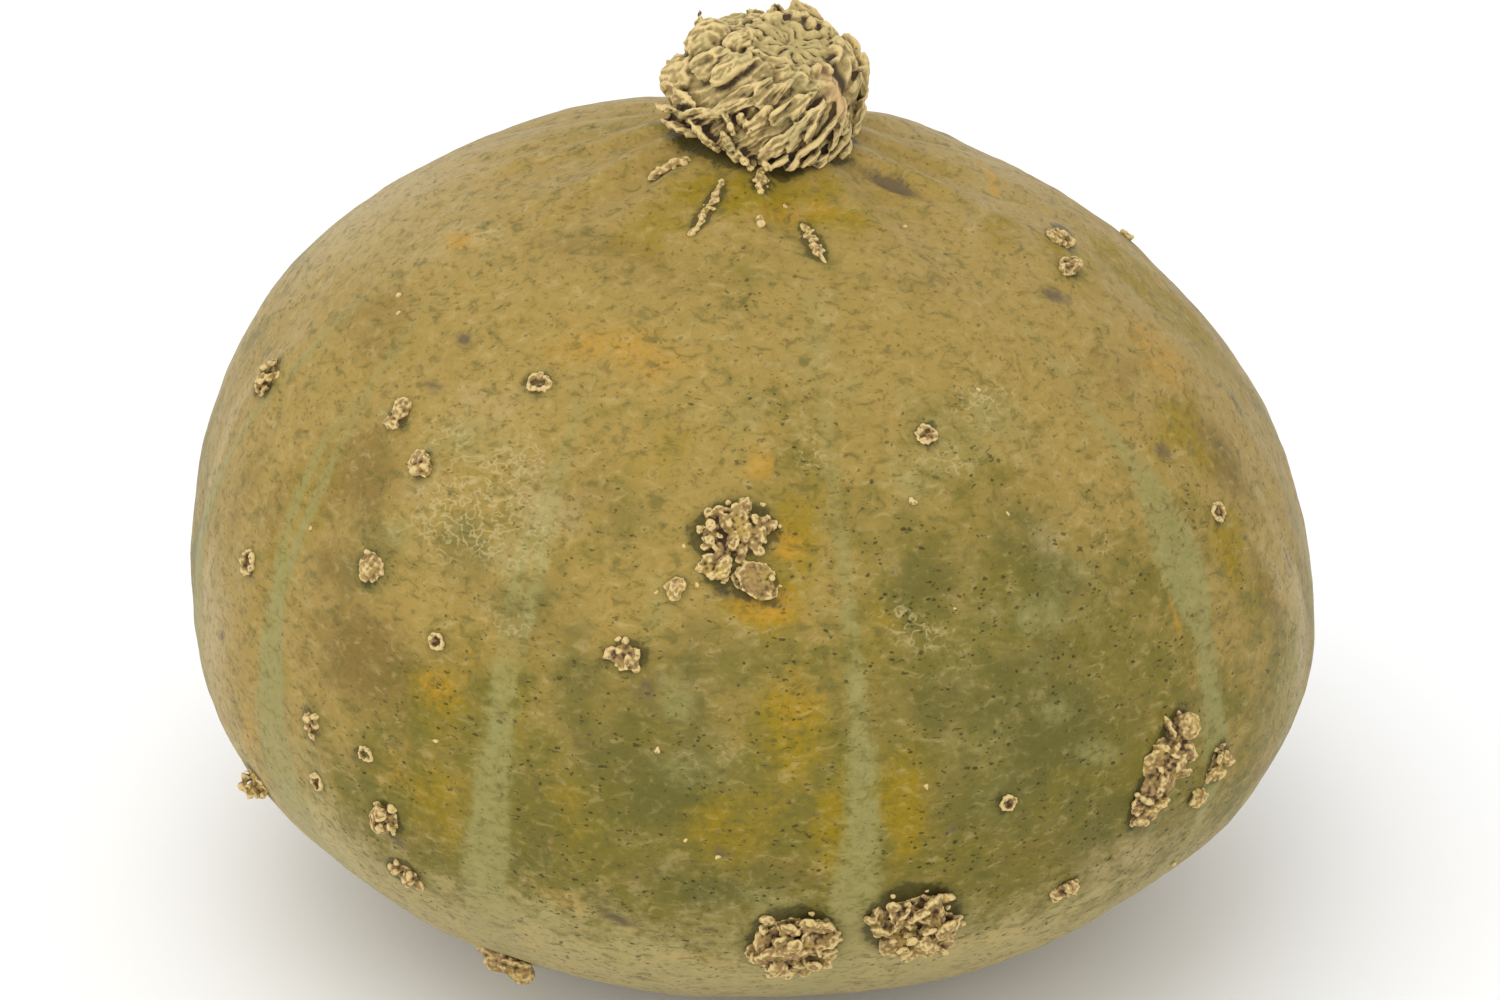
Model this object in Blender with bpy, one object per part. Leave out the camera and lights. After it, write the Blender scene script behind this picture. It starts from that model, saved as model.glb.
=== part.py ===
"""A whole kabocha squash standing on its blossom end: the grown fruit and its corky stem.

Metres, +Z up. The origin is under the middle of the squash, on the surface that it rests on, and -Y is its
best side. A longitude counts from -Y towards +X and a latitude counts up from the widest section. Both are in
degrees in the lists below, and in radians in the functions.
"""

import math
import random

import bmesh
import bpy
from mathutils import Matrix, Vector, noise

# The globe, measured from the middle of its widest section
MIDDLE = Vector((-0.0016, -0.0001, 0.0521))
HALF_WIDTH = 0.0899
CROWN_HEIGHT = 0.074
CROWN_FULLNESS = 2.04
BELLY_DEPTH = 0.0568
BELLY_FULLNESS = 2.06
NECK_RISE = 0.0036
NECK_WIDTH = 0.0226
SEAT_HEIGHT = 0.0764

# The blossom end, and the ground spot that the squash flattened as it lay
DIMPLE_DEPTH = 0.0026
DIMPLE_WIDTH = 0.0085
SCAR_HEIGHT = 0.0013
SCAR_WIDTH = 0.0038
GROUND_RISE = 0.0034
GROUND_WIDTH = 0.05
GROUND_SHIFT = 0.0045

# How it grew unevenly
OVAL = 0.009
OVAL_TURN = math.radians(90)
THREE_SIDED = 0.003
THREE_SIDED_TURN = math.radians(255)
SWAY = 0.0015
SWAY_SPAN = 0.055
LEAN = math.radians(3.12)

# The shallow grooves, one under each pale stripe
STRIPES = (-82, -53, -25, 10, 50, 86, 122, 158, 195, 236)
GROOVE_SPREAD = math.radians(9)
GROOVE_DEPTH = 0.0006
SHOULDER_GROOVE_DEPTH = 0.0013
UNDER_GROOVE_DEPTH = 0.0003
SHOULDER_RADIUS = 0.025
SHOULDER_SPREAD = 0.012

# The fruit's mesh: its rings close up towards both ends
SEGMENTS = 66
END_RINGS = (2.5, 5.0, 8.0, 12.0, 16.0, 20.5)
MIDDLE_RINGS = 21

# The stem, measured from its heart above the middle of its seat
SEAT_GAP = 0.0003
SKIRT_GAP = 0.0005
SKIRT_LEVEL = 0.6
HEART_HEIGHT = 0.0076
STEM_HALF_WIDTH = 0.0138
STEM_HALF_HEIGHT = 0.0092
STEM_SQUARENESS = 3.0
STEM_TAPER = 0.12
CUT_NORMAL = Vector((0.26, -0.36, 0.90)).normalized()
CUT_DISTANCE = 0.0084
CUT_SOFTNESS = 0.0012
CUT_SMOOTHNESS = 0.75
EDGE_ON = 0.05
FOLD_DEPTH = 0.0021
FOLD_LENGTH = 0.0075
FOLD_WIDTH = 0.0036
FOLD_SLANT = 70
CREST_LEVEL = 0.55
CREASE_SHARPNESS = 1.7
CRUMPLE = 0.35
CRUMPLE_SIZE = 0.0019
STEM_SEGMENTS = 54
STEM_RINGS = 23

# The stem's knobs and hollows: (longitude, latitude, spread, height), in degrees and millimetres
KNOBS = (
    (-76, -8, 26, 2.3),
    (-78, 12, 7, -1.2),
    (-78, 40, 16, -0.6),
    (88, 4, 7, 0.6),
    (72, -6, 10, -2.2),
    (5, -30, 42, 3.8),
    (60, -28, 18, 0.9),
    (-20, 20, 12, 0.9),
    (150, 20, 18, 0.8),
    (200, 5, 14, -1.0),
    (230, 30, 16, 0.8),
)

# The corky growths: (longitude, latitude, length, width, height, turn, lumps), in degrees and millimetres.
# A turn of 0 lays the length along the parallel, and 90 lays it along the meridian.
CRUSTS = (
    (-1.5, 29.7, 12, 9, 3.4, 10, 6),
    (-3.5, 26, 5, 4, 2.4, 0, 2),
    (0.8, 25.2, 6.5, 5, 2.2, -25, 1),
    (4.8, -13, 13.5, 11, 3.8, 0, 8),
    (16, -9.5, 13, 12, 3.8, 25, 8),
    (41.5, 2.8, 17.5, 6.5, 3.2, 48, 6),
    (50.3, 0.3, 7, 4.5, 2.2, 80, 3),
)
WARTS = (
    (-73, 27.3, 7, 6, 2.0, 0, 3),
    (-60.5, 12, 4.5, 3.5, 1.5, 90, 1),
    (-61.5, -13.5, 7, 6, 3.0, 0, 3),
    (-46.5, 33.3, 4.5, 3.5, 1.6, 90, 2),
    (-46.5, 1.2, 5, 3.5, 1.5, 90, 1),
    (-46, -5, 3, 3, 1.4, 0, 1),
    (-41.5, 18.7, 5, 4.6, 2.0, 0, 2),
    (-39.5, 29.5, 4, 3, 1.6, 0, 1),
    (-39, 1, 3, 2.5, 1.2, 0, 1),
    (-36.5, -5, 6, 5.5, 2.2, 90, 3),
    (-35.5, -12, 6.5, 5, 1.8, 0, 3),
    (-32, 14.3, 2.6, 2.6, 1.2, 0, 1),
    (-29, -29.5, 8, 6, 3.2, 0, 4),
    (-30, 41.5, 4, 3, 1.4, 0, 2),
    (-12.3, 17, 6, 5, 1.7, 0, 4),
    (-7.5, 24, 3, 2, 1.2, 90, 1),
    (-12, -12, 6, 2, 0.8, -15, 1),
    (24, 3.5, 2.6, 2.6, 1.2, 0, 1),
    (23, 39, 3.3, 3.3, 0.8, 0, 1),
    (32, -8, 5.5, 3, 1.8, 50, 2),
    (47.5, -2.5, 3, 3, 1.4, 0, 1),
    (59.5, 22.8, 3.3, 3.3, 1.2, 0, 1),
    (70, 51, 4, 3, 1.3, 0, 2),
    (80, 53, 6, 5, 1.4, 0, 2),
    (107, 40.5, 2.6, 2.6, 1.4, 0, 1),
)
STREAKS = (
    (-17.5, 69.5, 11, 2.4, 1.5, 88, 4),
    (15, 65.5, 9, 2.2, 1.4, 97, 4),
    (0, 74.5, 3.4, 2.2, 1.4, 90, 1),
    (-45, 74.5, 4.4, 2.4, 1.4, 60, 1),
)

# The growths round the back, where the skin turns away from the best side: they are strewn by a seeded rule
BACK_CRUSTS = 3
BACK_WARTS = 22
BACK_SPAN = (80, 280)
BACK_LATITUDES = (-32, 56)
BACK_SPACING = 0.013
BEST_SIDE = Vector((0, -0.9, 0.44))
BACK_TURN = -0.2
STREW_SEED = 23

# A lump of cork: how rough it is, and the growths whose lumps get the finer mesh
LUMP_ROUGHNESS = (0.8, 1.16)
FINE_LUMP_LENGTH = 8.5
GOLDEN_ANGLE = math.radians(137.5)
SLAB = 0.3

RIND = ("rind", (0.34, 0.30, 0.12, 1.0), 0.5)
CORK = ("cork", (0.50, 0.40, 0.23, 1.0), 0.85)


def clear_scene():
    for thing in list(bpy.data.objects):
        bpy.data.objects.remove(thing)


def finish_of(name, colour, roughness):
    material = bpy.data.materials.new(name)
    material.use_nodes = True
    shader = material.node_tree.nodes["Principled BSDF"]
    shader.inputs["Base Color"].default_value = colour
    shader.inputs["Roughness"].default_value = roughness
    shader.inputs["Metallic"].default_value = 0.0
    return material


def object_from(shape, name, material):
    """Turns a bmesh into an object, smooth-shaded, with its faces pointing outwards."""
    bmesh.ops.recalc_face_normals(shape, faces=shape.faces)
    mesh = bpy.data.meshes.new(name)
    shape.to_mesh(mesh)
    shape.free()
    mesh.shade_smooth()
    mesh.materials.append(material)
    thing = bpy.data.objects.new(name, mesh)
    bpy.context.scene.collection.objects.link(thing)
    return thing


def apply_boolean(body, operation, tools):
    """Joins a list of objects to a body, or cuts them out of it, and removes them."""
    group = bpy.data.collections.new("tools")
    for tool in tools:
        group.objects.link(tool)
    boolean = body.modifiers.new(operation, "BOOLEAN")
    boolean.operation = operation
    boolean.operand_type = "COLLECTION"
    boolean.collection = group
    boolean.solver = "EXACT"
    evaluated = body.evaluated_get(bpy.context.evaluated_depsgraph_get())
    result = bpy.data.meshes.new_from_object(evaluated)
    body.modifiers.clear()
    body.data = result
    for tool in tools:
        bpy.data.objects.remove(tool)
    bpy.data.collections.remove(group)


def fill_hollows(body):
    """Keeps only the outer shell: it fills any hollow sealed between lumps, and drops any loose scrap."""
    shape = bmesh.new()
    shape.from_mesh(body.data)
    unseen = set(shape.verts)
    shells = []
    while unseen:
        shell, edge = [], [unseen.pop()]
        while edge:
            corner = edge.pop()
            shell.append(corner)
            near = {link.other_vert(corner) for link in corner.link_edges} & unseen
            unseen -= near
            edge.extend(near)
        shells.append(shell)
    shells.sort(key=len)
    for shell in shells[:-1]:
        bmesh.ops.delete(shape, geom=shell, context="VERTS")
    shape.to_mesh(body.data)
    shape.free()


def bell(distance, width):
    return math.exp(-((distance / width) ** 2))


def globe(latitude):
    """Radius and height of the plain turned globe, whose crown and belly are two superellipses."""
    height, fullness = (BELLY_DEPTH, BELLY_FULLNESS) if latitude < 0 else (CROWN_HEIGHT, CROWN_FULLNESS)
    across = abs(math.cos(latitude)) / HALF_WIDTH
    along = abs(math.sin(latitude)) / height
    reach = (across**fullness + along**fullness) ** (-1 / fullness)
    return reach * math.cos(latitude), reach * math.sin(latitude)


def groove(radius, height, longitude):
    """How deep the skin dips at a longitude: shallow valleys under the stripes, deeper round the neck."""
    shoulder = bell(radius - SHOULDER_RADIUS, SHOULDER_SPREAD)
    shoulder *= SHOULDER_GROOVE_DEPTH if height > 0 else UNDER_GROOVE_DEPTH
    valley = 0.0
    for stripe in STRIPES:
        away = math.remainder(longitude - math.radians(stripe), math.tau)
        valley += bell(away, GROOVE_SPREAD)
    return valley * (GROOVE_DEPTH * min(1, radius / SHOULDER_RADIUS) ** 2 + shoulder)


def neck(radius, height):
    """The crown's height where the neck rises to the stem's seat."""
    return min(height + NECK_RISE * bell(radius, NECK_WIDTH), SEAT_HEIGHT)


def neck_under(radius):
    """The height of the neck under the stem's skirt."""
    crown = CROWN_HEIGHT * (1 - (radius / HALF_WIDTH) ** CROWN_FULLNESS) ** (1 / CROWN_FULLNESS)
    return neck(radius, crown)


def lean(point):
    """Carries a point of the upright squash, measured from its middle, to its place in the leaning one."""
    swayed = Vector((point.x + SWAY * math.cos(math.pi * point.z / SWAY_SPAN), point.y, point.z))
    return MIDDLE + Matrix.Rotation(LEAN, 3, "Y") @ swayed


def skin(latitude, longitude):
    """The skin's point at a latitude and a longitude."""
    radius, height = globe(latitude)
    uneven = 1 + OVAL * math.cos(2 * longitude - OVAL_TURN)
    uneven += THREE_SIDED * math.cos(3 * longitude - THREE_SIDED_TURN)
    dip = groove(radius, height, longitude) / math.hypot(radius, height)
    radius *= uneven * (1 - dip)
    height *= 1 - dip
    if height > 0:
        height = neck(radius, height)
    else:
        height += DIMPLE_DEPTH * bell(radius, DIMPLE_WIDTH) - SCAR_HEIGHT * bell(radius, SCAR_WIDTH)
    point = lean(Vector((radius * math.sin(longitude), -radius * math.cos(longitude), height)))
    if height < 0:
        share = math.hypot(point.x - GROUND_SHIFT, point.y) / GROUND_WIDTH
        point.z += GROUND_RISE * max(0, 1 - share**2) ** 2
    return point


def frame_at(latitude, longitude):
    """The skin's own axes at a place: along the parallel, along the meridian and outwards."""
    step = math.radians(0.5)
    east = (skin(latitude, longitude + step) - skin(latitude, longitude - step)).normalized()
    north = (skin(latitude + step, longitude) - skin(latitude - step, longitude)).normalized()
    out = east.cross(north).normalized()
    return Matrix((east, out.cross(east), out)).transposed()


def ringed_ball(rings, segments, place):
    """A closed mesh from pole to pole. place(latitude, longitude) gives each point."""
    shape = bmesh.new()
    bottom = shape.verts.new(place(-math.pi / 2, 0))
    top = shape.verts.new(place(math.pi / 2, 0))
    rows = [
        [shape.verts.new(place(latitude, math.tau * step / segments)) for step in range(segments)]
        for latitude in rings
    ]
    for step in range(segments):
        following = (step + 1) % segments
        shape.faces.new((bottom, rows[0][following], rows[0][step]))
        shape.faces.new((top, rows[-1][step], rows[-1][following]))
        for lower, upper in zip(rows, rows[1:]):
            shape.faces.new((lower[step], lower[following], upper[following], upper[step]))
    return shape


def fruit_rings():
    ends = [math.radians(90 - distance) for distance in END_RINGS]
    last = ends[-1]
    middle = [last - 2 * last * step / MIDDLE_RINGS for step in range(1, MIDDLE_RINGS)]
    return sorted(ends + middle + [-latitude for latitude in ends])


def lump(middle, axes, size, sides, draw):
    """One rough lump of cork: an icosphere with its corners pushed in and out."""
    shape = bmesh.new()
    bmesh.ops.create_icosphere(shape, subdivisions=sides, radius=1)
    spin = Matrix.Rotation(draw.uniform(0, math.tau), 3, "Z")
    for corner in shape.verts:
        way = spin @ corner.co * draw.uniform(*LUMP_ROUGHNESS)
        corner.co = middle + axes @ Vector((way.x * size[0], way.y * size[1], way.z * size[2]))
    return object_from(shape, "lump", None)


def growth(entry, draw):
    """A corky growth: lumps strewn over an oval of the skin, each sunk to its waist."""
    longitude, latitude, length, width, height, turn, lumps = entry
    place = (math.radians(latitude), math.radians(longitude))
    axes = frame_at(*place) @ Matrix.Rotation(math.radians(turn), 3, "Z")
    half_length, half_width, rise = length / 2000, width / 2000, height / 1000
    crowd = 1.1 / math.sqrt(lumps) + 0.1
    stretch = min(half_length / half_width, 3) ** 0.25
    sides = 2 if length > FINE_LUMP_LENGTH else 1
    made = []
    for number in range(lumps):
        spread = 0 if lumps == 1 else math.sqrt((number + 0.5) / lumps) * (1 - 0.6 * crowd)
        angle = number * GOLDEN_ANGLE
        offset = Vector((spread * half_length * math.cos(angle), spread * half_width * math.sin(angle), 0))
        foot = skin(*place) + axes @ offset
        foot -= axes.col[2] * (offset.length_squared / (2 * HALF_WIDTH))
        if lumps == 1:
            across = (half_length, half_width)
        else:
            mean = math.sqrt(half_length * half_width) * crowd * draw.uniform(0.8, 1.2)
            across = (mean * stretch, mean / stretch)
        made.append(lump(foot, axes, (*across, rise * draw.uniform(0.75, 1.05)), sides, draw))
    return made


def back_growths(draw):
    """Places for the growths round the back, kept apart from each other."""
    entries, taken = [], []
    while len(entries) < BACK_CRUSTS + BACK_WARTS:
        longitude = draw.uniform(*BACK_SPAN)
        latitude = draw.uniform(*BACK_LATITUDES)
        place = skin(math.radians(latitude), math.radians(longitude))
        outwards = frame_at(math.radians(latitude), math.radians(longitude)).col[2]
        crowded = any((place - other).length < BACK_SPACING for other in taken)
        if crowded or outwards.dot(BEST_SIDE) > BACK_TURN:
            continue
        taken.append(place)
        turn = draw.uniform(0, 180)
        if len(entries) < BACK_CRUSTS:
            entries.append((longitude, latitude, draw.uniform(9, 14), draw.uniform(7, 10), 3.2, turn, 5))
        else:
            length = draw.uniform(2.6, 6)
            lumps = 1 if length < 4.2 else 2
            entries.append((longitude, latitude, length, length * 0.8, 1 + length / 6, turn, lumps))
    return entries


def build_fruit(rind):
    fruit = object_from(ringed_ball(fruit_rings(), SEGMENTS, skin), "fruit", rind)
    draw = random.Random(STREW_SEED)
    lumps = []
    for entry in (*CRUSTS, *WARTS, *STREAKS, *back_growths(draw)):
        lumps += growth(entry, draw)
    apply_boolean(fruit, "UNION", lumps)
    fill_hollows(fruit)
    ground = bmesh.new()
    bmesh.ops.create_cube(ground, size=SLAB, matrix=Matrix.Translation((0, 0, -SLAB / 2)))
    apply_boolean(fruit, "DIFFERENCE", [object_from(ground, "ground", None)])
    return fruit


def direction(latitude, longitude):
    across = math.cos(latitude)
    return Vector((math.sin(longitude) * across, -math.cos(longitude) * across, math.sin(latitude)))


def stem_reach(way, latitude):
    """How far the stem reaches from its heart in a direction, before its folds."""
    across = math.cos(latitude) / (STEM_HALF_WIDTH * (1 - STEM_TAPER * way.z))
    along = abs(way.z) / STEM_HALF_HEIGHT
    reach = (across**STEM_SQUARENESS + along**STEM_SQUARENESS) ** (-1 / STEM_SQUARENESS)
    for knob_longitude, knob_latitude, spread, height in KNOBS:
        knob = direction(math.radians(knob_latitude), math.radians(knob_longitude))
        reach += height / 1000 * bell(way.angle(knob), math.radians(spread))
    facing = way.dot(CUT_NORMAL)
    if facing > EDGE_ON:
        cut = CUT_DISTANCE / facing
        reach = -CUT_SOFTNESS * math.log(math.exp(-reach / CUT_SOFTNESS) + math.exp(-cut / CUT_SOFTNESS))
    return reach


def folds(point):
    """Crumpled folds that wind up round the stem: positive on a crest, negative in a crease."""
    wound = Matrix.Rotation(FOLD_SLANT * point.z, 3, "Z") @ point
    scaled = Vector((wound.x / FOLD_WIDTH, wound.y / FOLD_WIDTH, wound.z / FOLD_LENGTH))
    crumple = CRUMPLE * noise.noise(point / CRUMPLE_SIZE)
    return CREST_LEVEL - CREASE_SHARPNESS * abs(noise.noise(scaled)) + crumple


def stem(latitude, longitude):
    """The stem's point, at a latitude and a longitude seen from its heart. Its skirt hangs clear of the neck."""
    way = direction(latitude, longitude)
    point = way * stem_reach(way, latitude)
    facing = max(0, way.dot(CUT_NORMAL))
    point += way * FOLD_DEPTH * folds(point) * (1 - CUT_SMOOTHNESS * facing**4)
    radius = math.hypot(point.x, point.y)
    point.z += SEAT_HEIGHT + HEART_HEIGHT
    ragged = SKIRT_LEVEL + noise.noise(point / FOLD_WIDTH)
    skirt = SKIRT_GAP * ragged * (radius / STEM_HALF_WIDTH) ** 2
    point.z = max(point.z, neck_under(radius) + SEAT_GAP + skirt)
    return lean(point)


def build_stem(cork):
    rings = [math.pi * (step / STEM_RINGS - 0.5) for step in range(1, STEM_RINGS)]
    return object_from(ringed_ball(rings, STEM_SEGMENTS, stem), "stem", cork)


def main():
    clear_scene()
    build_fruit(finish_of(*RIND))
    build_stem(finish_of(*CORK))


main()
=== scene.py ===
"""Kabocha squash: the grown fruit and its corky stem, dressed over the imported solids.

A longitude counts from the best side (-Y) towards +X and a latitude counts up from the widest section. Both
are in degrees in the lists, and in radians in the functions.
"""

import math
import random

import bmesh
import bpy
import numpy as np
from mathutils import Matrix, Vector, noise


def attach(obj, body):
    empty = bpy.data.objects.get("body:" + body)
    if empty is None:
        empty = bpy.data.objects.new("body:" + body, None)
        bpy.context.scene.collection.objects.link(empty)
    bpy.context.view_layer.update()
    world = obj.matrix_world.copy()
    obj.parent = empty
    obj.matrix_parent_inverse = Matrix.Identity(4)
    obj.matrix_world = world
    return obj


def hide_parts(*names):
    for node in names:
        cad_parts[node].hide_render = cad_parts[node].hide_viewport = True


bl_info = {
    "name": "Kabocha Squash",
    "version": (1, 0, 0),
    "blender": (4, 5, 0),
    "location": "View3D > Sidebar > Squash",
    "description": "Grows the skin, the corky growths and the stem of a kabocha squash",
    "category": "Add Mesh",
}

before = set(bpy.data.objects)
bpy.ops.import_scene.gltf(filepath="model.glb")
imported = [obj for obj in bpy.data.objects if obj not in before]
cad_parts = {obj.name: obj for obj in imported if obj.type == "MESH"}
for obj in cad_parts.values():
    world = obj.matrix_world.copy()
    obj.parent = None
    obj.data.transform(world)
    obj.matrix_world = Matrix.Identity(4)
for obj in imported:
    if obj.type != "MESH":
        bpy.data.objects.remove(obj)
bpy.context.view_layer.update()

# The globe, measured from the middle of its widest section
MIDDLE = np.array((-0.0016, -0.0001, 0.0521))
HALF_WIDTH = 0.0899
CROWN_HEIGHT = 0.074
CROWN_FULLNESS = 2.04
BELLY_DEPTH = 0.0568
BELLY_FULLNESS = 2.06
NECK_RISE = 0.0036
NECK_WIDTH = 0.0226
SEAT_HEIGHT = 0.0764
DIMPLE_DEPTH = 0.0026
DIMPLE_WIDTH = 0.0085
SCAR_HEIGHT = 0.0013
SCAR_WIDTH = 0.0038
GROUND_RISE = 0.0034
GROUND_WIDTH = 0.05
GROUND_SHIFT = 0.0045
OVAL = 0.009
OVAL_TURN = math.radians(90)
THREE_SIDED = 0.003
THREE_SIDED_TURN = math.radians(255)
SWAY = 0.0015
SWAY_SPAN = 0.055
LEAN = math.radians(3.12)
STRIPES = (-82, -53, -25, 10, 50, 86, 122, 158, 195, 236)
GROOVE_SPREAD = math.radians(9)
GROOVE_DEPTH = 0.0006
SHOULDER_GROOVE_DEPTH = 0.0013
UNDER_GROOVE_DEPTH = 0.0003
SHOULDER_RADIUS = 0.025
SHOULDER_SPREAD = 0.012

# The stem, measured from its heart above the middle of its seat
SEAT_GAP = 0.0003
SKIRT_GAP = 0.0005
SKIRT_LEVEL = 0.6
HEART_HEIGHT = 0.0076
STEM_HALF_WIDTH = 0.0138
STEM_HALF_HEIGHT = 0.0092
STEM_SQUARENESS = 3.0
STEM_TAPER = 0.12
CUT_NORMAL = Vector((0.26, -0.36, 0.90)).normalized()
CUT_DISTANCE = 0.0084
CUT_SOFTNESS = 0.0012
EDGE_ON = 0.05
KNOBS = (
    (-76, -8, 26, 2.3),
    (-78, 12, 7, -1.2),
    (-78, 40, 16, -0.6),
    (88, 4, 7, 0.6),
    (72, -6, 10, -2.2),
    (5, -30, 42, 3.8),
    (60, -28, 18, 0.9),
    (-20, 20, 12, 0.9),
    (150, 20, 18, 0.8),
    (200, 5, 14, -1.0),
    (230, 30, 16, 0.8),
)

# The corky growths: (longitude, latitude, length, width, height, turn, kind), in degrees and millimetres
CRUSTS = (
    (-1.5, 29.7, 12, 9, 3.4, 10, "crumbs"),
    (-3.5, 26, 5, 4, 2.4, 0, "crumbs"),
    (0.8, 25.2, 6.5, 5, 2.2, -25, "plate"),
    (5.2, -11.4, 13.5, 16, 4.6, 0, "popcorn"),
    (16.6, -9.2, 14.5, 16, 4.6, 20, "popcorn"),
    (41.5, 2.8, 20, 7, 3.6, 56, "ridge"),
    (50.3, 0.3, 7, 4.5, 2.2, 80, "crumbs"),
)
WARTS = (
    (-73, 27.3, 7, 6, 2.0, 0, "crumbs"),
    (-60.5, 12, 4.5, 3.5, 1.5, 90, "ring"),
    (-61.5, -13.5, 7, 6, 3.0, 0, "crumbs"),
    (-46.5, 33.3, 4.5, 3.5, 1.6, 90, "crumbs"),
    (-46.5, 1.2, 5, 3.5, 1.5, 90, "crumbs"),
    (-46, -5, 3, 3, 1.4, 0, "ring"),
    (-41.5, 18.7, 5, 4.6, 2.2, 0, "lump"),
    (-39.5, 29.5, 4, 3, 1.6, 0, "crumbs"),
    (-39, 1, 3, 2.5, 1.2, 0, "ring"),
    (-36.5, -5, 6, 5.5, 2.2, 90, "crumbs"),
    (-35.5, -12, 6.5, 5, 1.8, 0, "crumbs"),
    (-32, 14.3, 2.6, 2.6, 1.2, 0, "ring"),
    (-29, -29.5, 8, 6, 3.2, 0, "ridge"),
    (-30, 41.5, 4, 3, 1.4, 0, "ring"),
    (-12.3, 17, 6, 5, 1.7, 0, "crumbs"),
    (-7.5, 24, 3, 2, 1.2, 90, "crumbs"),
    (24, 3.5, 2.6, 2.6, 1.2, 0, "ring"),
    (23, 39, 3.3, 3.3, 0.8, 0, "ring"),
    (32, -8, 5.5, 3, 1.8, 50, "crumbs"),
    (47.5, -2.5, 3, 3, 1.4, 0, "crumbs"),
    (59.5, 22.8, 3.3, 3.3, 1.2, 0, "ring"),
    (70, 51, 4, 3, 1.3, 0, "crumbs"),
    (80, 53, 6, 5, 1.4, 0, "crumbs"),
    (107, 40.5, 2.6, 2.6, 1.4, 0, "ring"),
)
STREAKS = (
    (-17.5, 70.2, 13, 3.0, 1.7, 88, "streak"),
    (15, 65.5, 9.5, 2.6, 1.4, 97, "streak"),
    (-1, 75.2, 5, 3.2, 1.8, 90, "streak"),
    (-46, 74.8, 6, 3.4, 2.0, 55, "streak"),
)
BACK_CRUSTS = 3
BACK_WARTS = 22
BACK_SPAN = (80, 280)
BACK_LATITUDES = (-32, 56)
BACK_SPACING = 0.013
BEST_SIDE = Vector((0, -0.9, 0.44))
BACK_TURN = -0.2
STREW_SEED = 23

# Loose crumbs on the skin: (longitude, latitude, size)
CRUMBS = (
    (-3, -1, 1.0),
    (-6, 0.5, 0.9),
    (16, 6, 0.9),
    (-13, 18.5, 1.1),
    (-8.8, 9, 1.2),
    (19, 32.5, 1.2),
    (33, 43, 1.0),
    (-31, 5, 1.0),
    (51, -13, 1.2),
    (-63, 43.5, 1.4),
    (-60, 42, 1.0),
    (1.5, 32.5, 1.0),
    (0, 68.5, 2.4),
    (9.5, 72.5, 1.0),
    (45, 66, 1.1),
    (-52, 19, 0.9),
    (-7, 28, 0.9),
    (-5.5, 24.5, 1.0),
    (-9.5, 23.4, 0.8),
    (3.5, 30.5, 0.9),
    (30, 30, 0.8),
    (21, 22, 0.8),
)

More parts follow.
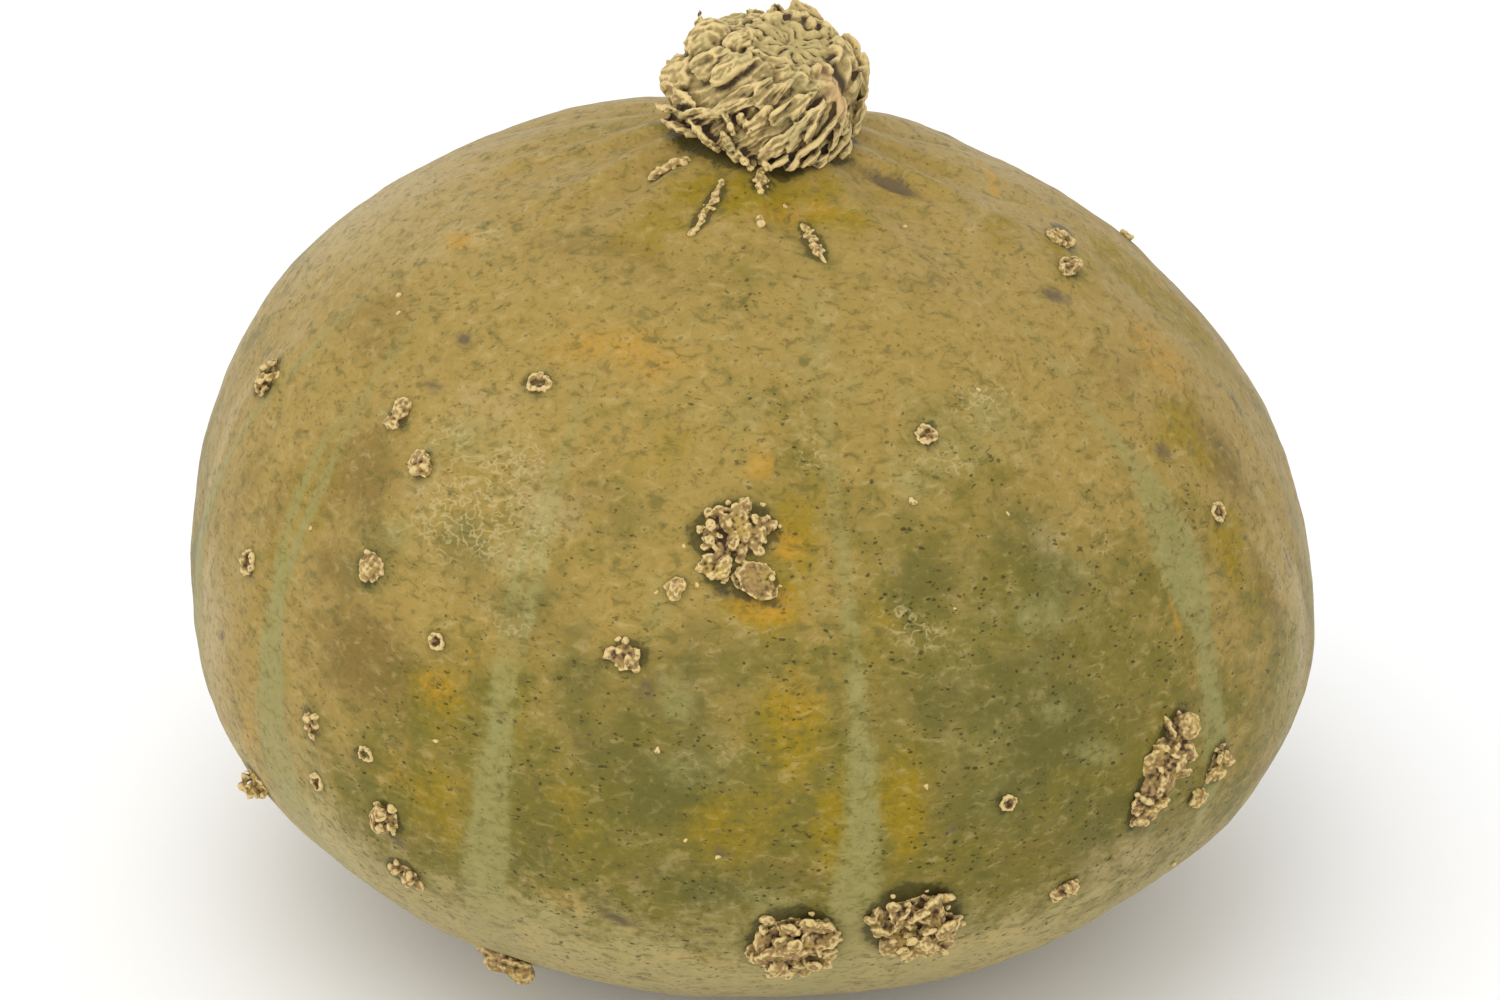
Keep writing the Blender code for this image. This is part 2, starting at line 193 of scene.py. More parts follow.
# Patches of colour on the skin: (longitude, latitude, half width, half height, turn, strength), in degrees and
# millimetres, for each tint
PATCHES = {
    "dust_and_edge_light": (
        # The wide rows near longitudes -100 to -78 and 84 to 96 are painted light, the sides lit paler; the other rows
        # are dull, greyish bloom.
        (-100, 42, 22, 26, 0, 0.9),
        (-78, 50, 22, 12, 0, 0.5),
        (-96, 12, 12, 36, 0, 0.9),
        (-84, 18, 5, 22, 0, 0.5),
        (-76, 30, 6, 10, 0, 0.5),
        (-80, -10, 8, 18, 0, 0.5),
        (-36, 38, 10, 5, 0, 0.5),
        (-24, 29, 8, 6, 0, 0.6),
        (62, 60, 18, 8, 0, 0.3),
        (95, 62, 26, 8, 0, 0.4),
        (66, 14, 2.5, 6, 0, 0.9),
        (96, 12, 10, 30, 0, 0.8),
        (84, 2, 6, 16, 0, 1.0),
        (70, 6, 5, 15, 0, 1.4),
        (70, 21, 1.6, 4, 0, 0.8),
        (-77, 18, 2.6, 12, 0, 1.1),
        (-71, 5, 3, 8, 0, 0.9),
        (-38, 28, 6, 6, 0, 0.5),
        (-27, 25, 4, 4, 0, 0.5),
        (-60, -14, 8, 6, 0, 0.6),
        (-40, -10, 8, 6, 0, 0.5),
        (34, 26.6, 2.4, 2.6, 0, 0.9),
        (-68, 0, 10, 14, 0, 0.9),
        (-50, -14, 12, 8, 0, 0.7),
        (40, -7, 16, 8, 0, 0.7),
        (24, -28, 30, 8, 0, 0.5),
        (-22, -30, 24, 8, 0, 0.5),
        (120, 60, 30, 12, 0, 0.5),
        (200, 62, 34, 12, 0, 0.5),
    ),
    "sage": (
        (-39, 23, 4, 3, 0, 0.8),
        (-36, 33, 9, 5, 0, 0.6),
        (-30, 25, 8, 5, 0, 0.4),
        (30, 41, 12, 8, 0, 0.7),
        (31, 20, 14, 12, 0, 0.42),
        (21, 8, 9, 10, 0, 0.35),
        (44, 2, 8, 10, 0, 0.4),
        (20, 35, 8, 6, 0, 0.5),
        (28.2, 20.6, 1.7, 3.6, -10, 1.2),
        (30, 11.5, 3.2, 2.6, 0, 0.9),
        (33, 7, 3.4, 2.4, 0, 0.8),
        (20, 17, 4, 3, 0, 0.6),
        (-7.5, 13.5, 2.6, 3.2, 0, 1.0),
        (-5, 8, 6, 3, 0, 0.7),
        (-9, 22, 2.5, 4, 0, 0.7),
        (-2, 42, 5, 8, 0, 0.4),
        (12, 50, 5, 14, 0, 0.5),
        (66, 0, 10, 16, 0, 0.8),
        (-47, -8, 8, 12, 0, 0.5),
        (2, -6, 4, 3, 0, 0.8),
        (-8, -14, 6, 3, 0, 0.9),
        (-30, -20, 6, 5, 0, 0.7),
        (24, -16, 4, 4, 0, 0.7),
        (-22, -12, 14, 10, 0, 0.6),
        (0, -20, 20, 8, 0, 0.5),
        (35, -14, 12, 8, 0, 0.6),
        (120, 10, 14, 20, 0, 0.5),
        (195, -5, 20, 14, 0, 0.6),
        (250, 30, 16, 14, 0, 0.5),
    ),
    "moss": (
        (27, 10, 18, 17, 0, 1.0),
        (31, 22, 15, 12, 0, 0.8),
        (17, 25, 7, 10, 0, 0.8),
        (38, -2, 13, 9, 0, 0.7),
        (-5, 17, 8, 6, 0, 0.8),
        (-9, 6, 11, 9, 0, 1.0),
        (-3, -4, 14, 7, 0, 0.8),
        (-20, -2, 8, 12, 0, 0.5),
        (-42, 20, 9, 6, 0, 0.7),
        (-34, 10, 8, 5, 0, 0.4),
        (-32, 24, 7, 6, 0, 0.5),
        (-15, 30, 8, 6, 0, 0.3),
        (5, 34, 5, 8, 0, 0.5),
        (17, 12, 7, 12, 0, 0.6),
        (-22, 20, 9, 7, 0, 0.5),
        (-8, 11, 9, 8, 0, 0.8),
        (-17, 14, 5, 8, 0, 0.8),
        (4, 17, 5, 6, 0, 0.4),
        (-14, -9, 5, 3, 0, 0.7),
        (-8, -4, 6, 4, 0, 0.6),
        (23, -4, 6, 3, 0, 0.6),
        (110, 0, 20, 20, 0, 0.7),
        (165, -8, 24, 16, 0, 0.7),
        (215, 0, 20, 24, 0, 0.7),
        (270, 10, 14, 22, 0, 0.4),
        (185, 45, 26, 14, 0, 0.4),
    ),
    "ochre": (
        (-4, 73, 14, 7, 0, 1.0),
        (26, 71, 12, 7, 0, 0.9),
        (-30, 66, 8, 9, 0, 0.5),
        (1.5, 23, 5, 4, 0, 0.9),
        (3, 12, 6, 9, 0, 0.9),
        (-2, 3, 7, 6, 0, 0.6),
        (8, 2, 3.5, 9, 0, 1.1),
        (13.5, 4, 4, 9, 0, 1.1),
        (13, 21, 3, 8, 0, 0.5),
        (5, 30, 6, 12, 0, 0.55),
        (-10, 38, 12, 6, 0, 0.3),
        (-24, 12, 3, 6, 0, 0.6),
        (-31, 9, 6, 7, 0, 0.8),
        (-31, -2, 7, 8, 0, 0.7),
        (-16, 0, 6, 8, 0, 0.4),
        (-54, 16, 6, 26, 0, 0.5),
        (62, 30, 8, 9, 0, 0.8),
        (60, 18, 6, 12, 0, 0.7),
        (88, 38, 7, 18, 0, 1.2),
        (74, 50, 8, 6, 30, 0.8),
        (70, 60, 9, 4, 20, 0.6),
        (40, 72, 8, 4, 0, 0.7),
        (130, 10, 14, 30, 0, 0.5),
        (175, 20, 12, 26, 0, 0.6),
        (250, 5, 14, 30, 0, 0.5),
    ),
    "blush": (
        (3.5, 29, 3, 4, 0, 1.0),
        (1.5, 23, 4, 2.5, 0, 0.9),
        (1, 37, 3, 3, 0, 0.7),
        (4, 15, 4, 5, 0, 0.5),
        (-22, 48, 14, 5, 0, 0.6),
        (-15, 46, 6, 5, 0, 0.4),
        (-31, 10, 4, 4, 0, 0.5),
        (-36, 1, 6, 5, 0, 0.4),
        (-60, -8, 4, 10, 0, 0.5),
        (-66, 52, 3, 1.5, 0, 0.8),
        (-28, 15, 8, 4, 0, 0.3),
        (70, 38, 9, 8, 0, 0.5),
        (46.8, 16, 0.8, 11, 0, 0.6),
        (96, 62, 6, 1.5, 0, 0.9),
        (12, 71, 10, 3, 0, 0.5),
        (-4, -15, 8, 1.2, 0, 0.8),
        (-18, -9, 6, 4, 0, 0.5),
        (-22, -20, 7, 3, 0, 0.5),
        (28, -14, 6, 3, 0, 0.6),
        (18, -20, 8, 3, 0, 0.5),
        (150, 40, 20, 12, 0, 0.4),
        (210, 20, 16, 12, 0, 0.4),
    ),
    "umber": (
        (-48, 26, 12, 10, 0, 0.8),
        (-46, 17, 9, 8, 0, 0.7),
        (-40, 10, 13, 8, 0, 1.0),
        (-22, 18, 8, 6, 0, 0.5),
        (-58, 18, 5, 14, 0, 0.5),
        (-20, 32, 10, 6, 0, 0.4),
        (-62, 40, 10, 8, 0, 0.6),
        (-66, 18, 5, 12, 0, 0.5),
        (-36, -8, 10, 5, 0, 0.4),
        (66, 27, 6, 10, 0, 1.0),
        (63, 12, 4, 12, 0, 0.7),
        (57, 40, 9, 6, 0, 0.5),
        (30, 56, 12, 6, 0, 0.3),
        (-32, 60, 20, 6, 0, 0.5),
        (4, -3, 6, 2, 0, 0.5),
        (26, -3, 7, 3, 0, 0.5),
        (110, 35, 14, 14, 0, 0.5),
        (205, 30, 16, 14, 0, 0.5),
        (255, -4, 14, 14, 0, 0.5),
    ),
    "bruise": (
        (-46, 43.4, 2.2, 1.6, 0, 0.8),
        (-45, 37.5, 3.2, 1.8, 0, 0.7),
        (-42.6, 28, 1.4, 1.4, 0, 0.7),
        (-24.1, 9.1, 0.9, 0.9, 0, 1.0),
        (-36, 3.2, 0.9, 1.0, 0, 1.0),
        (-64.7, 2.4, 1.3, 1.8, 0, 0.9),
        (-10.2, 15, 2.6, 2.4, 0, 0.6),
        (-9, 12.5, 1.8, 1.2, 0, 0.6),
        (23, 38, 1.3, 1.1, 0, 1.0),
        (79.4, 27.4, 1.2, 3.6, -35, 0.9),
        (56.4, 30.6, 1.6, 1.8, 30, 0.7),
        (67.8, 21.5, 1.4, 2.2, 0, 0.6),
        (47.1, 44.6, 0.7, 2.2, 0, 0.7),
        (70, 12.5, 0.7, 6, 0, 0.7),
        (85, 53, 2.6, 2.2, 0, 1.2),
        (60.4, 49.7, 3.2, 1.8, -30, 0.9),
        (61, 72, 1.6, 8, 12, 1.0),
        (-11.9, -10.3, 3.2, 0.8, -20, 1.1),
        (6, 3.5, 3, 0.5, -6, 0.8),
        (19, 1.6, 2.4, 0.5, 8, 0.8),
        (3.4, 21, 2, 1.6, 0, 0.4),
        (-3, 24, 4, 1.2, 0, 0.4),
        (-70, 73, 1.2, 5, 20, 0.5),
        (-52, 67, 0.8, 7, 15, 0.5),
        (15, 56, 1.6, 1.0, 0, 0.4),
        (-2.5, -0.6, 1.6, 1.2, 0, 0.9),
        (-3, -10, 2.4, 0.6, 10, 0.8),
        (9, -6, 2.2, 0.8, 40, 0.6),
        (-7, -7, 2.0, 0.5, 0, 0.7),
        (-35.5, -7.5, 1.6, 1.0, -50, 0.8),
        (-15, -1, 1.8, 0.5, 10, 0.6),
        (-40.5, 0, 1.0, 1.0, 0, 0.7),
        (43, -3.5, 1.0, 1.0, 0, 0.8),
        (31, -1.2, 0.8, 0.8, 0, 0.8),
        (140, 30, 2.6, 1.6, 20, 0.8),
        (176, 12, 1.4, 3.2, 10, 0.8),
        (222, 42, 2.4, 1.6, 0, 0.8),
        (240, -4, 1.4, 1.4, 0, 0.9),
    ),
    "scuff": (
        (-32, 28, 12, 10, 0, 1.2),
        (-24, 26, 6, 6, 0, 0.8),
        (-40, 34, 7, 6, 0, 0.8),
        (-25, 18, 9, 4, 0, 0.6),
        (16, 21, 5, 5, 0, 1.0),
        (33, 42, 7, 3, 0, 1.2),
        (24, 36, 8, 4, 0, 0.7),
        (27, 34, 9, 5, 0, 0.5),
        (7, 37, 3, 4, 0, 0.8),
        (-64, 54, 5, 4, 0, 0.7),
        (-4, 8, 6, 4, 0, 0.5),
        (40, 26, 6, 10, 0, 0.4),
        (150, 20, 12, 8, 0, 0.8),
        (230, 24, 10, 10, 0, 0.8),
    ),
}

# Ridges and furrows that run out from the neck: (longitude, latitude, half width, half height, turn, rise)
RELIEF = (
    (-62, 69, 2.2, 11, 14, 0.6),
    (-72, 70, 1.8, 12, 10, -0.4),
    (-84, 68, 3.0, 14, 8, 0.5),
    (-98, 66, 2.4, 14, 0, -0.4),
    (-48, 70, 2.0, 9, 12, -0.3),
    (61, 72, 1.6, 8, 12, -0.8),
    (72, 68, 2.4, 10, 6, 0.5),
    (30, 68, 3.0, 10, 0, 0.3),
    (-24, 68, 3.0, 10, 0, 0.3),
    (120, 69, 2.4, 12, 0, -0.4),
    (160, 68, 3.0, 12, 0, 0.4),
    (205, 69, 2.4, 12, 0, -0.4),
    (240, 68, 2.6, 12, 0, 0.4),
    (-11.9, -10.3, 3.2, 0.9, -20, -0.35),
)


def deselect_all():
    for thing in bpy.context.selected_objects:
        thing.select_set(False)


def bell(distance, width):
    return np.exp(-((distance / width) ** 2))


def globe(latitude):
    """Radius and height of the plain turned globe, whose crown and belly are two superellipses."""
    below = latitude < 0
    height = np.where(below, BELLY_DEPTH, CROWN_HEIGHT)
    fullness = np.where(below, BELLY_FULLNESS, CROWN_FULLNESS)
    across = np.abs(np.cos(latitude)) / HALF_WIDTH
    along = np.abs(np.sin(latitude)) / height
    reach = (across**fullness + along**fullness) ** (-1 / fullness)
    return reach * np.cos(latitude), reach * np.sin(latitude)


def away_from(longitude, stripe):
    """The turn from a stripe's longitude, between half a turn each way."""
    return (longitude - math.radians(stripe) + math.pi) % math.tau - math.pi


def groove(radius, height, longitude):
    shoulder = bell(radius - SHOULDER_RADIUS, SHOULDER_SPREAD)
    shoulder = shoulder * np.where(height > 0, SHOULDER_GROOVE_DEPTH, UNDER_GROOVE_DEPTH)
    valley = sum(bell(away_from(longitude, stripe), GROOVE_SPREAD) for stripe in STRIPES)
    return valley * (GROOVE_DEPTH * np.minimum(1, radius / SHOULDER_RADIUS) ** 2 + shoulder)


def neck(radius, height):
    return np.minimum(height + NECK_RISE * bell(radius, NECK_WIDTH), SEAT_HEIGHT)


def neck_under(radius):
    """The height of the neck under the stem's skirt."""
    share = np.clip(radius / HALF_WIDTH, 0, 0.999)
    crown = CROWN_HEIGHT * (1 - share**CROWN_FULLNESS) ** (1 / CROWN_FULLNESS)
    return neck(radius, crown)


def lean(points):
    """Carries points of the upright squash, measured from its middle, to their places in the leaning one."""
    swayed = points.copy()
    swayed[:, 0] += SWAY * np.cos(math.pi * points[:, 2] / SWAY_SPAN)
    return MIDDLE + swayed @ np.array(Matrix.Rotation(LEAN, 3, "Y")).T


def skin(latitude, longitude):
    """The skin's points at arrays of latitudes and longitudes."""
    latitude = np.atleast_1d(np.asarray(latitude, float))
    longitude = np.atleast_1d(np.asarray(longitude, float))
    radius, height = globe(latitude)
    uneven = 1 + OVAL * np.cos(2 * longitude - OVAL_TURN)
    uneven += THREE_SIDED * np.cos(3 * longitude - THREE_SIDED_TURN)
    dip = groove(radius, height, longitude) / np.hypot(radius, height)
    radius = radius * uneven * (1 - dip)
    height = height * (1 - dip)
    dimple = DIMPLE_DEPTH * bell(radius, DIMPLE_WIDTH) - SCAR_HEIGHT * bell(radius, SCAR_WIDTH)
    height = np.where(height > 0, neck(radius, height), height + dimple)
    points = lean(np.stack((radius * np.sin(longitude), -radius * np.cos(longitude), height), 1))
    share = np.hypot(points[:, 0] - GROUND_SHIFT, points[:, 1]) / GROUND_WIDTH
    points[:, 2] += np.where(height < 0, GROUND_RISE * np.maximum(0, 1 - share**2) ** 2, 0)
    return points


def frame_at(latitude, longitude):
    """The skin's own axes at a place: along the parallel, along the meridian and outwards."""
    step = math.radians(0.5)
    near = skin(
        [latitude, latitude, latitude + step, latitude - step],
        [longitude + step, longitude - step, longitude, longitude],
    )
    east = Vector(near[0] - near[1]).normalized()
    north = Vector(near[2] - near[3]).normalized()
    out = east.cross(north).normalized()
    return Matrix((east, out.cross(east), out)).transposed()


def placed(entry):
    """A growth's foot on the skin and its axes, turned as its row says."""
    latitude, longitude = math.radians(entry[1]), math.radians(entry[0])
    axes = frame_at(latitude, longitude) @ Matrix.Rotation(math.radians(entry[5]), 3, "Z")
    return Vector(skin(latitude, longitude)[0]), axes


def back_growths(draw):
    """Rows for the growths round the back, kept apart from each other."""
    rows, taken = [], []
    while len(rows) < BACK_CRUSTS + BACK_WARTS:
        longitude = draw.uniform(*BACK_SPAN)
        latitude = draw.uniform(*BACK_LATITUDES)
        place, axes = placed((longitude, latitude, 0, 0, 0, 0))
        crowded = any((place - other).length < BACK_SPACING for other in taken)
        if crowded or axes.col[2].dot(BEST_SIDE) > BACK_TURN:
            continue
        taken.append(place)
        turn = draw.uniform(0, 180)
        if len(rows) < BACK_CRUSTS:
            rows.append((longitude, latitude, draw.uniform(9, 14), draw.uniform(7, 10), 3.2, turn, "popcorn"))
        else:
            length = draw.uniform(2.6, 6)
            kind = "ring" if length < 4.2 else "crumbs"
            rows.append((longitude, latitude, length, length * 0.8, 1 + length / 6, turn, kind))
    return rows


BACK_GROWTHS = back_growths(random.Random(STREW_SEED))


def corners_of(mesh):
    points = np.empty(len(mesh.vertices) * 3)
    mesh.vertices.foreach_get("co", points)
    return points.reshape(-1, 3)


def set_corners(mesh, points):
    mesh.vertices.foreach_set("co", np.asarray(points, np.float32).ravel())
    mesh.update()


def normals_of(mesh):
    normals = np.empty(len(mesh.vertices) * 3)
    mesh.vertex_normals.foreach_get("vector", normals)
    return normals.reshape(-1, 3)


def noise_at(points, size):
    return np.array([noise.noise(point) for point in (points / size).tolist()])


def clouds(points, size, octaves=3):
    """Soft clouds with bent edges, between about -1 and 1."""
    values = np.empty(len(points))
    for number, point in enumerate((points / size).tolist()):
        spot = Vector(point)
        values[number] = noise.fractal(spot + 0.6 * noise.noise_vector(spot * 1.6), 0.8, 2.0, octaves)
    return values


def store(mesh, name, values):
    """Keeps one number for each corner, for the material to read."""
    layer = mesh.attributes.new(name, "FLOAT", "POINT")
    layer.data.foreach_set("value", np.asarray(values, np.float32))


def smoothed(values, edges, times):
    """Values at the corners, averaged with their neighbours' a number of times."""
    count = len(values)
    links = np.concatenate((edges[:, 0], edges[:, 1]))
    others = np.concatenate((edges[:, 1], edges[:, 0]))
    degree = np.maximum(np.bincount(links, minlength=count), 1)
    for _ in range(times):
        near = np.stack([np.bincount(links, values[others, axis], count) for axis in range(values.shape[1])], 1)
        values = 0.5 * values + 0.5 * near / degree[:, None]
    return values


def crests(mesh, times):
    """How far each corner stands out of its smoothed surroundings, in metres: negative in a crease."""
    edges = np.empty(len(mesh.edges) * 2, int)
    mesh.edges.foreach_get("vertices", edges)
    points = corners_of(mesh)
    return np.einsum("ij,ij->i", points - smoothed(points, edges.reshape(-1, 2), times), normals_of(mesh))


def store_crests(mesh):
    """Keeps how high each corner stands, for the painted highlight on crests and the painted shade in creases: about 1
    on a crest and -1 in a crease.
    """
    high = crests(mesh, 8) / 0.00008 + crests(mesh, 40) / 0.00016
    store(mesh, "crest", np.clip(high / 2, -3, 3))


def model_grain():
    """A round grain, as a start for lumps."""
    bpy.ops.mesh.primitive_ico_sphere_add(subdivisions=2, radius=1)
    return bpy.context.object


def model_shard():
    """An angular grain, with few large faces."""
    bpy.ops.mesh.primitive_ico_sphere_add(subdivisions=1, radius=1)
    return bpy.context.object


def model_bed():
    bpy.ops.mesh.primitive_ico_sphere_add(subdivisions=3, radius=1)
    return bpy.context.object


def model_flake():
    """A thin plate whose middle is sunk, so that its rim stands up."""
    bpy.ops.mesh.primitive_cylinder_add(vertices=7, radius=1, depth=0.5)
    bpy.ops.object.mode_set(mode="EDIT")
    bpy.ops.mesh.select_mode(type="FACE")
    shape = bmesh.from_edit_mesh(bpy.context.object.data)
    for face in shape.faces:
        face.select_set(face.normal.z > 0.9)
    shape.select_flush_mode()
    bmesh.update_edit_mesh(bpy.context.object.data)
    bpy.ops.mesh.inset(thickness=0.16, depth=-0.14)
    bpy.ops.object.mode_set(mode="OBJECT")
    return bpy.context.object


STARTS = {"grain": model_grain, "shard": model_shard, "bed": model_bed, "flake": model_flake}


class Lumps:
    """A crowd of lumps in the making. Each is a copy of one start, with its own mesh."""

    def __init__(self, seed):
        deselect_all()
        self.draw = random.Random(seed)
        self.starts = {name: model() for name, model in STARTS.items()}
        self.made = []

    def add(self, kind, middle, axes, size, rough=(0.8, 1.16), curl=0.0):
        lump = self.starts[kind].copy()
        lump.data = lump.data.copy()
        bpy.context.scene.collection.objects.link(lump)
        points = corners_of(lump.data)
        push = np.array([self.draw.uniform(*rough) for _ in points])
        points = points * push[:, None]
        points[:, 2] += curl * (points[:, 0] ** 2 - 0.4)
        points = (points * np.array(size)) @ np.array(axes).T + np.array(middle)
        set_corners(lump.data, points)
        self.made.append(lump)

    def melt(self, name, size):
        for start in self.starts.values():
            bpy.data.objects.remove(start)
        piece = join(self.made, name)
        remesh(piece, size)
        return piece


def join(things, name):
    deselect_all()
    for thing in things:
        thing.select_set(True)
    bpy.context.view_layer.objects.active = things[0]
    bpy.ops.object.join()
    made = bpy.context.object
    made.name = made.data.name = name
    return made


def remesh(thing, size):
    """Melts the lumps of a piece into one closed mesh."""
    melt = thing.modifiers.new("melt", "REMESH")
    melt.mode = "VOXEL"
    melt.voxel_size = size
    deselect_all()
    thing.select_set(True)
    bpy.context.view_layer.objects.active = thing
    bpy.ops.object.modifier_apply(modifier=melt.name)


def finish_piece(thing, material, slot, *nodes):
    thing.data.materials.clear()
    thing.data.materials.append(material)
    deselect_all()
    thing.select_set(True)
    bpy.context.view_layer.objects.active = thing
    bpy.ops.object.shade_smooth()
    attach(thing, "root")
    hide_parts(*nodes)


class Finish:
    """A material in the making: each method adds a node and gives back its output."""

    def __init__(self, name):
        self.material = bpy.data.materials.new(name)
        self.material.use_nodes = True
        self.tree = self.material.node_tree
        self.shader = self.tree.nodes["Principled BSDF"]
        self.place = self.add("ShaderNodeTexCoord").outputs["Object"]

    def add(self, kind, **settings):
        node = self.tree.nodes.new(kind)
        for name, value in settings.items():
            setattr(node, name, value)
        return node

    def give(self, socket, value):
        if isinstance(value, bpy.types.NodeSocket):
            self.tree.links.new(value, socket)
        elif isinstance(value, (tuple, list)) or hasattr(value, "__len__"):
            socket.default_value = (*value[:3], 1.0) if len(socket.default_value) == 4 else value
        else:
            socket.default_value = value

    def attribute(self, name):
        return self.add("ShaderNodeAttribute", attribute_name=name).outputs["Fac"]

    def sum(self, operation, first, second=0.0, third=0.0):
        node = self.add("ShaderNodeMath", operation=operation)
        for socket, value in zip(node.inputs, (first, second, third)):
            self.give(socket, value)
        return node.outputs[0]

    def mapped(self, scale=(1, 1, 1), turn=(0, 0, 0), shift=(0, 0, 0)):
        node = self.add("ShaderNodeMapping")
        self.give(node.inputs["Vector"], self.place)
        node.inputs["Scale"].default_value = scale
        node.inputs["Rotation"].default_value = turn
        node.inputs["Location"].default_value = shift
        return node.outputs[0]

    def cloud(self, size, detail=3.0, roughness=0.55, distortion=0.0, place=None):
        """A soft noise between 0 and 1, whose blobs are about a size in metres."""
        node = self.add("ShaderNodeTexNoise")
        self.give(node.inputs["Vector"], place or self.place)
        node.inputs["Scale"].default_value = 1 / size
        node.inputs["Detail"].default_value = detail
        node.inputs["Roughness"].default_value = roughness
        node.inputs["Distortion"].default_value = distortion
        return node.outputs["Fac"]

    def cells(self, size, feature="F1", place=None, output="Distance"):
        node = self.add("ShaderNodeTexVoronoi", feature=feature)
        self.give(node.inputs["Vector"], place or self.place)
        node.inputs["Scale"].default_value = 1 / size
        return node.outputs[output]

    def step(self, value, low, high, bottom=0.0, top=1.0):
        """A smooth step from bottom to top as the value goes from low to high."""
        node = self.add("ShaderNodeMapRange", interpolation_type="SMOOTHSTEP")
        for name, given in (("Value", value), ("From Min", low), ("From Max", high)):
            self.give(node.inputs[name], given)
        self.give(node.inputs["To Min"], bottom)
        self.give(node.inputs["To Max"], top)
        return node.outputs[0]

    def mix(self, share, first, second, blend="MIX"):
        node = self.add("ShaderNodeMix", data_type="RGBA", blend_type=blend, clamp_factor=True)
        self.give(node.inputs[0], share)
        self.give(node.inputs[6], first)
        self.give(node.inputs[7], second)
        return node.outputs[2]

    def bump(self, height, distance, strength=1.0, normal=None):
        node = self.add("ShaderNodeBump")
        node.inputs["Strength"].default_value = strength
        node.inputs["Distance"].default_value = distance
        self.give(node.inputs["Height"], height)
        if normal:
            self.give(node.inputs["Normal"], normal)
        return node.outputs[0]

    def close(self, colour, roughness, normal, **constants):
        self.give(self.shader.inputs["Base Color"], colour)
        self.give(self.shader.inputs["Roughness"], roughness)
        self.give(self.shader.inputs["Normal"], normal)
        for name, value in constants.items():
            self.shader.inputs[name.replace("_", " ")].default_value = value
        return self.material


